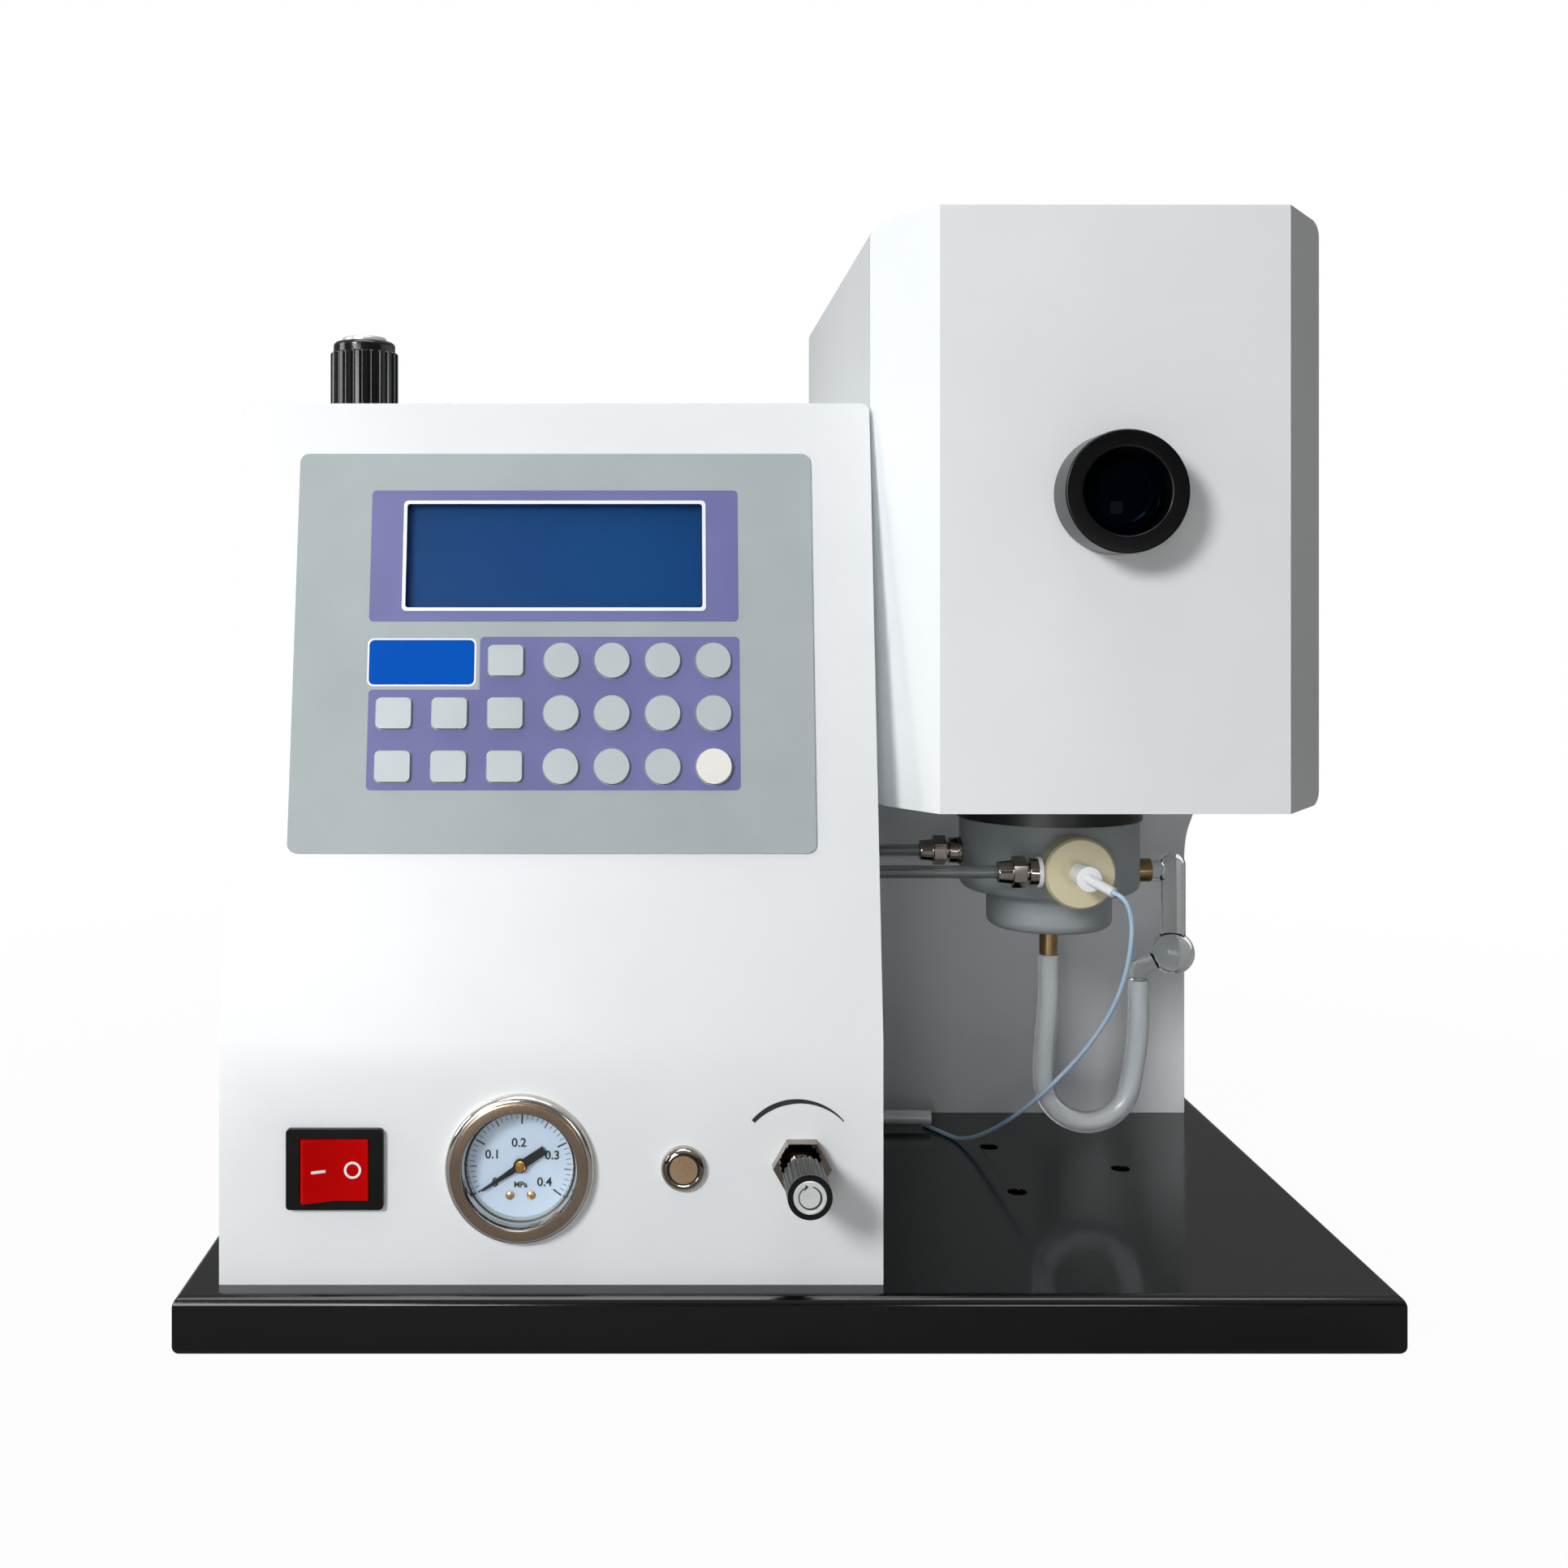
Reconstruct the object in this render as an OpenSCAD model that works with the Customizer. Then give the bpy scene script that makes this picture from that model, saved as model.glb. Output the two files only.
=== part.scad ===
// Flame photometer for the laboratory bench. A black folded base tray carries a white
// cabinet with a sloped keypad face and gas controls, and a burner head on a rear column,
// with its nebulizer, mixing chamber, overflow trap, drain tube and sample capillary.
// +X is to the right of a person at the controls, +Y runs from front to back, +Z is up.
// The origin is on the bench, under the middle of the whole machine.

/* [Base] */
// Width of the base tray
base_w = 384; // [376:1:420]
// Depth of the base tray
base_d = 280; // [274:1:310]
// Height of the tray's top above the bench
base_h = 20; // [16:0.5:26]
// Sheet thickness of the tray
base_wall = 1.5; // [1:0.1:2]
// Outside radius of the tray's bends and apron corners
base_bend = 3.5; // [2.5:0.1:6]
// Gap between the tray's lower edge and the bench
base_lift = 1; // [0.5:0.1:2]
// Diameter of a rubber foot
foot_d = 22; // [16:0.5:28]
// Distance of each foot's centre from the tray's edges
foot_inset = 22; // [18:0.5:36]
// Diameter of the three accessory holes in the tray
accessory_hole_d = 7; // [4:0.1:9]
// Pitch circle of the three accessory holes
accessory_pcd = 60; // [50:0.5:66]
// Distance of the accessory holes' circle centre behind the tray's front face
accessory_y = 121; // [100:1:130]

/* [Cabinet] */
// Width of the cabinet
cab_w = 210; // [206:0.5:216]
// Distance of the cabinet's left side from the middle of the base
cab_left = 179.6; // [176:0.1:184]
// Distance of the cabinet's front behind the tray's front face
cab_inset = 9.5; // [6:0.1:14]
// Depth of the cabinet at its foot
cab_d = 260.5; // [250:0.5:264]
// Height of the cabinet above the tray
cab_h = 282.7; // [276:0.1:300]
// Height above the tray at which the front starts to lean back
fold_h = 76.5; // [74:0.1:79]
// Angle at which the upper front leans back
panel_tilt = 9.6; // [8:0.1:11]
// Sheet thickness of the cabinet, head and column
wall = 1.2; // [0.9:0.1:1.5]
// Outside radius of the cabinet's top bends
cab_bend = 3; // [2:0.1:5]
// Width of the return flange round each open back
flange_w = 10; // [9:0.5:14]

/* [Keypad] */
// Distance of the keypad's middle from the cabinet's left side
pad_x = 104.6; // [103:0.1:107]
// Width of the keypad overlay
pad_w = 170.4; // [165:0.1:176]
// Length of the keypad overlay along the slope
pad_h = 132.2; // [131:0.1:135]
// Distance of the overlay's lower edge from the fold, along the slope
pad_low = 59.3; // [57:0.1:62]
// Thickness of the overlay
pad_t = 0.8; // [0.6:0.1:1.2]
// Corner radius of the overlay
pad_corner = 3; // [2:0.1:6]
// Width of the display's window in the overlay
view_w = 98.6; // [94:0.1:100]
// Height of the display's window along the slope
view_h = 35.6; // [33:0.1:37]
// Height of the window's middle above the overlay's lower edge
view_up = 97.6; // [96.5:0.1:98.5]
// Diameter of a round key
round_key_d = 11.4; // [10:0.1:12.2]
// Width of a square key
square_key_w = 11.4; // [10:0.1:12.2]
// Height of a square key
square_key_h = 10; // [8:0.1:11]
// Distance between the columns of round keys
round_pitch = 16.55; // [16.4:0.05:16.7]
// Distance between the columns of square keys
square_pitch = 18.15; // [17.5:0.05:18.5]
// Distance between the rows of keys along the slope
row_pitch = 17.3; // [16:0.05:18]
// Height of the lowest row's middle above the overlay's lower edge
row_low = 27.8; // [27:0.1:29]
// How far a key stands out of the overlay
key_rise = 1.2; // [1:0.05:1.6]
// How far the start key, the last round one, stands out
start_key_rise = 1.8; // [1.2:0.05:2.4]
// How far a key is pressed in
key_travel = 0.8; // [0.5:0.05:0.9]

/* [Controls] */
// Height of the row of controls above the tray
control_h = 37; // [34:0.1:42]
// Distance of the switch's middle from the cabinet's left side
switch_across = 36.8; // [30:0.1:42]
// Distance of the gauge's middle from the cabinet's left side
gauge_across = 95.1; // [84:0.1:104]
// Distance of the ignition button's middle from the cabinet's left side
ignition_across = 146.8; // [138:0.1:156]
// Distance of the needle valve's middle from the cabinet's left side
valve_across = 184; // [178:0.1:188]
// Width of the rocker switch's bezel
switch_w = 30.6; // [30:0.1:33]
// Height of the rocker switch's bezel
switch_h = 25.4; // [25:0.1:27]
// Radius at which the rocker's ends turn
rocker_r = 10.9; // [10:0.05:11.2]
// Height of the rocker
rocker_h = 19.2; // [17:0.1:19.4]
// Angle of the rocker from level to either side
rocker_tilt = 10; // [7:0.5:12]
// Diameter of the gauge's chrome flange
gauge_flange_d = 47; // [46:0.1:52]
// Diameter of the gauge's barrel
gauge_d = 40; // [39:0.1:41]
// Diameter of the gauge's window
gauge_window_d = 36.6; // [35:0.1:36.8]
// Length of the gauge's pointer from its pivot to its tip
pointer_l = 14.6; // [12:0.1:16]
// Angle of the pointer at zero pressure, counter-clockwise from the right
pointer_zero = 213; // [205:1:225]
// Diameter of the ignition button's flange
ignition_flange_d = 14; // [13.5:0.1:16]
// Diameter of the ignition button's cap
ignition_cap_d = 8.8; // [7:0.1:9]
// How far the ignition button is pressed in
ignition_travel = 1.5; // [1:0.1:2]
// Width across the flats of the needle valve's panel nut
valve_nut_af = 16; // [14:0.5:18]
// Diameter of the needle valve's knob
valve_knob_d = 13.5; // [12:0.1:16]
// Length of the needle valve's knob
valve_knob_l = 18.2; // [15:0.1:20]
// How far the needle valve's knob reaches in front of the cabinet
valve_reach = 30.2; // [28:0.1:34]
// Diameter of the regulator's knob on the top
reg_knob_d = 23.8; // [22:0.1:28]
// Height of the regulator knob's fluted part
reg_knob_h = 21.3; // [18:0.1:26]
// Distance of the regulator's axis from the cabinet's left side
reg_x = 34.4; // [30:0.1:40]
// Distance of the regulator's axis behind the tray's front face
reg_y = 79; // [77:0.5:95]
// Diameter of every knob's spindle
spindle_d = 6; // [5:0.1:6.5]

/* [Head and column] */
// Gap between the cabinet and the head beside it
head_gap = 0.7; // [0.4:0.1:3]
// Width of the head and the column
head_w = 151.7; // [148:0.1:154]
// Distance of the head's front behind the tray's front face
head_inset = 18.3; // [10:0.1:20]
// Distance of the head's back behind the tray's front face
head_back = 269; // [262:0.5:272]
// Height of the head's underside above the tray
head_low = 147.7; // [145:0.1:152]
// Height of the head
head_h = 195.8; // [185:0.1:205]
// Width of the left bevel of the head, and of the right one
bevel_w_left = 18.7; // [16:0.1:22]
bevel_w_right = 20.3; // [16:0.1:24]
// Depth of both bevels of the head
bevel_d = 28.7; // [24:0.1:34]
// Outside radius of the head's bends
head_bend = 4.5; // [3:0.1:7]
// Distance of the column's front behind the tray's front face
column_inset = 192; // [188:0.5:198]
// Height above the tray at which the column bends forward
column_bend_h = 107; // [104:0.5:111]
// Radius of that bend
column_bend_r = 22; // [16:0.5:24]
// Diameter of the eyepiece
eyepiece_d = 39; // [36:0.1:42]
// Diameter of the eyepiece's sight bore
eyepiece_bore_d = 27.5; // [24:0.1:28.5]
// How far the eyepiece stands out of the head
eyepiece_l = 16.4; // [12:0.1:18]
// Height of the eyepiece's axis above the head's underside
eyepiece_up = 102.7; // [95:0.1:108]

/* [Burner and tubing] */
// Distance of the burner's axis from the cabinet's right side
burner_x = 75.7; // [74:0.1:77]
// Distance of the burner's axis behind the tray's front face
burner_y = 110; // [108:0.5:112]
// Diameter of the black ring under the head
ring_d = 68; // [66.5:0.1:74]
// Height of that ring
ring_h = 12; // [10:0.1:13]
// Diameter of the mixing chamber
chamber_d = 66; // [65:0.1:66.4]
// Height of the mixing chamber
chamber_h = 26.7; // [26.4:0.1:27.2]
// Diameter of the chamber's lower part
sump_d = 46; // [42:0.1:50]
// Height of the chamber's lower part
sump_h = 14; // [13.6:0.1:14.4]
// Wall of the mixing chamber
chamber_wall = 3; // [2:0.1:4]
// Diameter of the nebulizer's disc
neb_d = 25; // [23:0.1:25.4]
// Thickness of the nebulizer's disc
neb_t = 10; // [9:0.1:11]
// Gap between the nebulizer's disc and the chamber
neb_gap = 5; // [4.8:0.1:6]
// Diameter of the nebulizer's white hub
hub_d = 8; // [6:0.1:9]
// Outside diameter of the gas hoses
gas_hose_d = 4.5; // [4:0.1:5.2]
// Outside diameter of the drain hose
drain_d = 8; // [7.4:0.1:8.6]
// Diameter of the sample capillary
capillary_d = 1.6; // [1.2:0.1:1.8]
// Outside diameter of the sleeve that parks the capillary
sleeve_d = 5.6; // [5:0.1:6]
// Diameter of the upright part of the glass overflow trap
trap_d = 9.4; // [8:0.1:10.4]
// Diameter of the trap's bulb
bulb_d = 16; // [14:0.1:18]
// Diameter of the flame chimney
chimney_d = 56; // [50:0.5:60]

/* [Rear] */
// How far the gas inlets reach behind the cabinet
inlet_reach = 20; // [16:0.5:26]
// Diameter of a gas inlet's hose spigot
spigot_d = 8; // [6:0.1:9]
// Width of the power inlet's socket
socket_w = 24; // [23:0.1:26]
// Height of the power inlet's socket
socket_h = 16; // [15:0.1:17]

/* [Fits] */
// Gap between fixed pieces that pass through each other
slip = 0.15; // [0.1:0.01:0.25]
// Radial clearance of a shaft in its bearing
run = 0.05; // [0.02:0.01:0.09]

/* [Hidden] */
$fn = 64;
round_count = 12;
square_count = 7;
KEYS = concat([for (i = [1:round_count]) str("round_key_", i)],
              [for (i = [1:square_count]) str("square_key_", i)]);

// Colours
white_paint = [0.93, 0.94, 0.95];
black_paint = [0.08, 0.08, 0.09];
chrome = [0.75, 0.74, 0.72];
brass = [0.66, 0.54, 0.36];
steel = [0.68, 0.69, 0.71];
black_plastic = [0.05, 0.05, 0.055];
board_green = [0.10, 0.36, 0.20];

// Overhang used where one shape cuts right through another
cut = 1;

// Front to back: the whole machine is centred on the origin
machine_front = cab_inset - valve_reach;
cab_back = cab_inset + cab_d;
machine_back = max(cab_back + inlet_reach, base_d, head_back);
front_y = -(machine_front + machine_back) / 2;
function behind(d) = front_y + d;

// Left to right
cab_x0 = -cab_left;
cab_x1 = cab_x0 + cab_w;
head_x0 = cab_x1 + head_gap;
head_x1 = head_x0 + head_w;
burner_cx = cab_x1 + burner_x;
burner_cy = behind(burner_y);

// Heights
cab_z1 = base_h + cab_h;
fold_z = base_h + fold_h;
head_z0 = base_h + head_low;
head_z1 = head_z0 + head_h;
control_z = base_h + control_h;

// Rows and columns of the keypad, in the sloped face's own plane
pad_cx = cab_x0 + pad_x;
view_v = pad_low + view_up;
round_side = 2.7;
square_side = 51.8;
round_x0 = pad_cx + round_side;
square_x0 = pad_cx - square_side;
function row_v(row) = pad_low + row_low + (2 - row) * row_pitch;
function round_spot(i) = [round_x0 + (i % 4) * round_pitch, row_v(floor(i / 4))];
function square_spot(i) = i == 0
    ? [square_x0 + 2 * square_pitch, row_v(0)]
    : [square_x0 + ((i - 1) % 3) * square_pitch, row_v(1 + floor((i - 1) / 3))];
key_corner = 1.6;
key_flange = 1;
key_flange_t = 1;
key_stem_d = 4;
key_stem_l = 2.2;
key_bay_margin = 1;
key_bay_x0 = square_x0 - square_key_w / 2 - key_flange - key_bay_margin;
key_bay_x1 = round_spot(3)[0] + round_key_d / 2 + key_flange + key_bay_margin;
key_bay_v0 = row_v(2) - round_key_d / 2 - key_flange - key_bay_margin;
key_bay_v1 = row_v(0) + round_key_d / 2 + key_flange + key_bay_margin;

// Display behind its window
window_lip = 3;
window_w = view_w + 2 * window_lip;
window_h = view_h + 2 * window_lip;
module_w = 112;
module_h = 46;
module_t = 9;
module_gap = 0.3;
display_board_w = 124;
display_board_h = 52;
board_t = 1.6;
post_d = 5;
post_edge = 4;
display_post_d = 4.4;
display_post_out = 0.6;
display_post_in = 3;
display_board_w0 = wall + module_gap + module_t;

// Key board
key_switch_h = 2.3;
key_board_drop = key_flange_t + key_stem_l + key_switch_h;
key_board_edge = 7.5;
key_board_low = 4.4;
key_board_high = 4;
key_board_x0 = key_bay_x0 - key_board_edge;
key_board_x1 = key_bay_x1 + key_board_edge;
key_board_v0 = key_bay_v0 - key_board_low;
key_board_v1 = key_bay_v1 + key_board_high;
switch_pad = 6;
switch_pad_t = 0.7;
switch_dot_d = 3.5;
switch_dot_t = 0.5;

// Main board and mains transformer on the cabinet's floor
main_from_left = 16;
main_from_front = 84;
main_x0 = cab_x0 + main_from_left;
main_w = 68;
main_y0 = behind(main_from_front);
main_d = 150;
main_lift = 8;
transformer = [52, 46, 40];
transformer_at = [8, 12];
capacitor_d = 14;
capacitor_h = 26;
capacitor_at = [18, 76];
capacitor_pitch = 17;
chip = [30, 12, 4];
chip_at = [14, 96];
chip_pitch = 22;

// Rocker switch
switch_x = cab_x0 + switch_across;
bezel_t = 2;
rocker_gap = 0.15;
switch_body_w = switch_w - 2.2;
switch_body_h = switch_h - 3.6;
switch_depth = 25;
switch_corner = 1.2;
rocker_centre = 2.4;
rocker_back = 3;
rocker_pin_d = 2.4;
rocker_pin_l = 0.9;
switch_cavity = 8;
blade = [0.8, 4.8, 8];
blade_pitch = 7;

// Pressure gauge
gauge_x = cab_x0 + gauge_across;
gauge_flange_t = 1.8;
gauge_bezel_t = 4.6;
gauge_bezel_d = 42.4;
gauge_depth = 26;
gauge_back_t = 2;
gauge_wall = 0.8;
gauge_pocket_d = gauge_d - 2 * gauge_wall;
gauge_lip_t = 1;
gauge_glass_t = 1.5;
gauge_glass_w = gauge_bezel_t - gauge_lip_t - gauge_glass_t;
gauge_ledge = 1.6;
dial_t = 0.8;
dial_w = -3;
arbor_d = 1.6;
arbor_back = -9;
dial_bush_d = 6;
dial_bush_back = -10;
pointer_t = 0.5;
pointer_w = -2.2;
pointer_hub_d = 4.4;
pointer_hub_t = 1.3;
pointer_hub_back = 0.3;
pointer_tail = 9.2;
pointer_tail_w = 2.8;
pointer_tip_w = 0.6;
gauge_stem_d = 10;
gauge_stem_l = 14;

// Ignition button
ignition_x = cab_x0 + ignition_across;
ignition_flange_t = 1.6;
ignition_thread_d = 12;
ignition_depth = 18;
ignition_proud = 2.4;
ignition_lip_w = -1;
ignition_collar_d = ignition_cap_d + 1.2;
ignition_cap_back = -6;
ignition_nut_d = 17;
ignition_nut_t = 3;
ignition_floor_t = 2;
thread_gap = 0.02;

// Needle valve
valve_x = cab_x0 + valve_across;
valve_up = 1;
valve_nut_t = 5;
valve_neck_d = 9.2;
valve_neck_w = 11;
valve_thread_d = 12;
valve_depth = 18;
valve_block_d = 18;
valve_block_l = 16;
valve_spigot_d = 6.4;
valve_spigot_l = 12;
knob_seat = 0.6;
knob_roof = 5;
valve_flutes = 22;
valve_flute_d = 1.3;
valve_rim = 1.2;
back_nut_t = 4;
flute_out = 0.12;

// Regulator
reg_cx = cab_x0 + reg_x;
reg_cy = behind(reg_y);
reg_thread_d = 12;
reg_thread_out = 0.2;
reg_flutes = 24;
reg_flute_d = 2;
reg_collar_d = 21.7;
reg_collar_h = 3.8;
reg_cap_d = 15.6;
reg_cap_h = 1.7;
reg_nut_d = 22;
reg_nut_t = 4;
reg_bonnet_d = 30;
reg_bonnet_h = 40;
reg_block_d = 38;
reg_block_h = 24;
reg_port_d = 6.4;
reg_port_l = 10;

// Rear panels, screws and connectors
panel_gap = 0.3;
screw_d = 3;
screw_gap = 0.2;
screw_l = 7;
screw_head_d = 5.6;
screw_head_t = 2;
screw_dome_d = 8.4;
screw_dome_w = -2.2;
screw_slot = [3.6, 0.8, 1.1];
thread_depth = 0.1;
vents = 9;
vent = [50, 3];
vent_pitch = 8;
vent_corner = 1.45;
vent_sides = [0.3, 0.7];
cab_vent_drop = 50;
head_vent_drop = 46;
inlet_hex_af = 14;
inlet_hex_t = 5;
inlet_bore_d = 3;
inlet_groove = 0.4;
inlet_groove_w = 1;
inlet_groove_pitch = 2.5;
spigot_plain = 9;
spigot_edge = 1;
inlet_tail = 12;
air_inlet = [gauge_x, control_z];
fuel_inlet = [valve_x, control_z + valve_up];
power_across = 42;
power_up = 42;
power_x = cab_x0 + power_across;
power_z = base_h + power_up;
socket_flange = [48, 23, 2.5];
socket_body = [27, 20, 22];
socket_depth = 17;
socket_blade = [2, 4, 12];
socket_blades = [[-7, -2], [0, 2.5], [7, -2]];

// Head, column and what they hold
chimney_wall = 1;
chimney_below = 27.6;
chimney_flange = 6;
chimney_port_d = 20;
sight_z = head_z0 + eyepiece_up;
sight_side = 0.4;
sight_x = burner_cx - sight_side;
eyepiece_hole_d = eyepiece_bore_d + 4.3;
lens_w = 8;
lens_t = 4;
lens_d = eyepiece_bore_d + 1.4;
lens_lip = 0.6;
lens_dome_r = 40;
lens_bulge = 1.2;
eyepiece_barrel = 12;
retainer_t = 3;
burner_tube_d = 16;
burner_tube_bore = 10;
flame_gap = 26;
burner_top_z = sight_z - flame_gap;
burner_cap_d = 26;
burner_cap_h = 12;
burner_roof = 3;
burner_tube_in = 4;
burner_holes = 8;
burner_hole_d = 1.6;
burner_hole_pcd = 7;
flame_hole_d = 3;
igniter_d = 2.4;
igniter_out = 19;
igniter_up = 4;
igniter_foot_d = 7;
igniter_foot_h = 8;
ring_step = 2;
burner_port_d = 48;
detector_len = 38;
detector_h = 34;
detector_d = 46;
light_path_d = 10;
detector_face = 10;
filter_slot_edge = 8;
filter_slot_out = 14;
filter_slot_w = 3;
wire_slot = [100, 40];
column_rib = 14;

// Mixing chamber and what is on it
chamber_z1 = head_z0 - ring_h;
chamber_z0 = chamber_z1 - chamber_h;
sump_z0 = chamber_z0 - sump_h;
chamber_round = 3.5;
chamber_front = burner_cy - chamber_d / 2;
neb_y1 = chamber_front - neb_gap;
neb_y0 = neb_y1 - neb_t;
neb_drop = 14.2;
neb_z = chamber_z1 - neb_drop;
neb_bore = 2.6;
neb_neck_d = 14;
neb_neck_in = 5;
neb_edge = 0.8;
hub_l = 12;
hub_ring_l = 3;
hub_ring = 0.8;
hub_front = neb_y0 - hub_l;
capillary_bore = capillary_d + 0.6;
tip_sleeve_d = 3.6;
drain_nipple_d = 6.8;
drain_nipple_bore = 4.6;
drain_top_z = sump_z0 - 11;
drain_nipple_in = 2;
overflow_z = chamber_z1 - 20.2;
overflow_flange_d = 8.7;
overflow_flange_l = 5;
overflow_d = 7;
overflow_in = 6;
overflow_bore = 5;

// Gas fittings, written along their own axis from the hose's end
fitting_cone_l = 5;
fitting_cone_d = 8.3;
fitting_nut_l = 4.6;
fitting_nut_d = 10.7;
fitting_neck_l = 1.2;
fitting_neck_d = 6;
fitting_ring_l = 3.2;
fitting_ring_d = 9.6;
fitting_washer_l = 1.4;
fitting_washer_d = 10;
air_hose_y = (neb_y0 + neb_y1) / 2;
air_fit_x = burner_cx - neb_d / 2 + 0.6;
fuel_z = chamber_z1 - 12.7;
fitting_thread = 3;
fitting_flat = 0.9;
fitting_taper = 1;
fitting_bore = 2;
fitting_socket = 5;
washer_gap = 0.05;
hose_inside = 12;
hose_wall_gap = 0.3;
gas_hose_wall = 0.9;
inner_hose_d = 8;

// Parking sleeve, through the cabinet's side just above the tray
sleeve_from_front = 170;
sleeve_up = 4.8;
sleeve_reach = 41.3;
sleeve_y = behind(sleeve_from_front);
sleeve_z = base_h + sleeve_up;
sleeve_bore = 3.6;
tip_sleeve_in = 4;

// Glass overflow trap
trap_wall = 1;
trap_arm_d = 8.4;
trap_x = burner_cx + 46.5;
bulb_z = sump_z0 - 10.4;
trap_out_d = 6.4;
trap_bead = 0.4;
trap_out_x = burner_cx + 33.6;
trap_out_z = sump_z0 - 16.5;
drain_end_z = sump_z0 - 20.6;

// Route of the drain hose, in X and Z on the burner's own plane, from the nipple's end
drain_route = [
    [106.1, 104], [106.1, 96], [106, 88], [105.4, 80], [104.7, 72], [104.2, 64.5],
    [104.1, 57.3], [105.1, 51.7], [107.9, 46.8], [112.3, 43.2], [117.6, 41.2],
    [123.2, 41.2], [128.6, 43.2], [132.9, 46.8], [135.7, 51.7], [137.1, 57.5],
    [138.3, 64], [139.2, 71], [139.7, 79], [139.7, 87], [139.7, 94.4]];

// Route of the sample capillary, in X, distance behind the tray's front face, and Z
capillary_route = [
    [112.1, 42.4, 138.4], [113.7, 40.5, 137.6], [115.6, 40, 135.6], [117.2, 41, 132.2],
    [118.4, 43, 127.4], [119, 46, 121], [119.2, 50, 113.6], [118.8, 55, 105.6],
    [118, 61, 97.6], [116.6, 68, 89.6], [114.6, 75.5, 81.8], [112, 83, 74],
    [108.8, 91, 66.2], [105.2, 99, 58.4], [101.2, 107, 50.8], [97, 115.5, 43.4],
    [92.6, 124.5, 36.4], [88.2, 134, 30], [84, 143.5, 24.8], [80, 152.5, 21.6],
    [76.4, 160, 20.9], [72.6, 167, 20.9], [69.4, 173, 20.9]];
capillary_sides = 8;
drain_sides = 12;
steps_per_point = 3;

// ---- Shared shapes ----

// What a corner of radius r leaves out of a square corner; sx and sy point out of it
module corner_notch(sx, sy, r) {
    difference() {
        translate([sx > 0 ? -r : -cut, sy > 0 ? -r : -cut]) square(r + cut);
        translate([-sx * r, -sy * r]) circle(r = r);
    }
}

// Rectangle standing on its middle, with its own radius for the lower and upper corners
module plate_2d(w, h, r_low, r_high) {
    difference() {
        translate([-w / 2, 0]) square([w, h]);
        for (s = [-1, 1]) {
            if (r_low > 0) translate([s * w / 2, 0]) corner_notch(s, -1, r_low);
            if (r_high > 0) translate([s * w / 2, h]) corner_notch(s, 1, r_high);
        }
    }
}

module centred_plate_2d(w, h, r) {
    translate([0, -h / 2]) plate_2d(w, h, r, r);
}

// A flat drawing in X and Z, drawn out from y0 to y1
module along_y(y0, y1) {
    translate([0, y1, 0]) rotate([90, 0, 0]) linear_extrude(y1 - y0) children();
}

// A flat drawing in Y and Z, drawn out from x0 to x1
module along_x(x0, x1) {
    translate([x0, 0, 0]) rotate([90, 0, 90]) linear_extrude(x1 - x0) children();
}

// Places things on the lower front at X and Z, with their own z pointing to the front
module on_front(x, z) {
    translate([x, behind(cab_inset), z]) rotate([90, 0, 0]) children();
}

// Places things on the sloped face: x across, y up the slope from the fold, z outwards
module on_slope() {
    translate([0, behind(cab_inset), fold_z]) rotate([90 - panel_tilt, 0, 0]) children();
}

// Places things on the back of the cabinet, with their own z pointing to the rear
module on_back(x, z) {
    translate([x, behind(cab_back), z]) rotate([-90, 0, 0]) children();
}

// A ring or tube from z0 to z1
module tube(d, bore, z0, z1) {
    translate([0, 0, z0]) difference() {
        cylinder(d = d, h = z1 - z0);
        translate([0, 0, -cut]) cylinder(d = bore, h = z1 - z0 + 2 * cut);
    }
}

module rod(d, z0, z1) {
    translate([0, 0, z0]) cylinder(d = d, h = z1 - z0);
}

module hex(af, z0, z1) {
    translate([0, 0, z0]) cylinder(d = af / cos(30), h = z1 - z0, $fn = 6);
}

// Grooves along the side of a knob of diameter d
module flutes(d, groove_d, count, z0, z1) {
    for (i = [0:count - 1]) rotate([0, 0, i * 360 / count])
        translate([d / 2 + groove_d * flute_out, 0, 0]) rod(groove_d, z0, z1);
}

// ---- Swept tubes ----

function unit(v) = v / norm(v);

// A point on the smooth curve through p1 and p2, at the fraction t between them
function between(p0, p1, p2, p3, t) =
    0.5 * (2 * p1 + (p2 - p0) * t + (2 * p0 - 5 * p1 + 4 * p2 - p3) * t * t
           + (3 * p1 - p0 - 3 * p2 + p3) * t * t * t);

function smooth_route(p, steps) = concat(
    [for (i = [0:len(p) - 2]) for (k = [0:steps - 1])
        between(p[max(i - 1, 0)], p[i], p[i + 1], p[min(i + 2, len(p) - 1)], k / steps)],
    [p[len(p) - 1]]);

function directions(p) = [for (i = [0:len(p) - 1])
    unit(p[min(i + 1, len(p) - 1)] - p[max(i - 1, 0)])];

// Side vectors carried along the route without twist
function carried(dirs, side, i = 0) = i == len(dirs)
    ? []
    : let (s = unit(side - (side * dirs[i]) * dirs[i])) concat([s], carried(dirs, s, i + 1));

module swept(route, d, sides) {
    dirs = directions(route);
    side = carried(dirs, [0, 1, 0.1]);
    rings = len(route);
    points = [for (i = [0:rings - 1]) for (k = [0:sides - 1])
        let (a = 360 * k / sides)
        route[i] + d / 2 * (cos(a) * side[i] + sin(a) * cross(dirs[i], side[i]))];
    function at(i, k) = i * sides + k % sides;
    skin = [for (i = [0:rings - 2]) for (k = [0:sides - 1]) for (half = [0, 1]) half == 0
        ? [at(i, k), at(i + 1, k), at(i, k + 1)]
        : [at(i, k + 1), at(i + 1, k), at(i + 1, k + 1)]];
    caps = concat([[for (k = [0:sides - 1]) at(0, k)]],
                  [[for (k = [sides - 1:-1:0]) at(rings - 1, k)]]);
    polyhedron(points = points, faces = concat(skin, caps), convexity = 8);
}

// ---- Base ----

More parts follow.
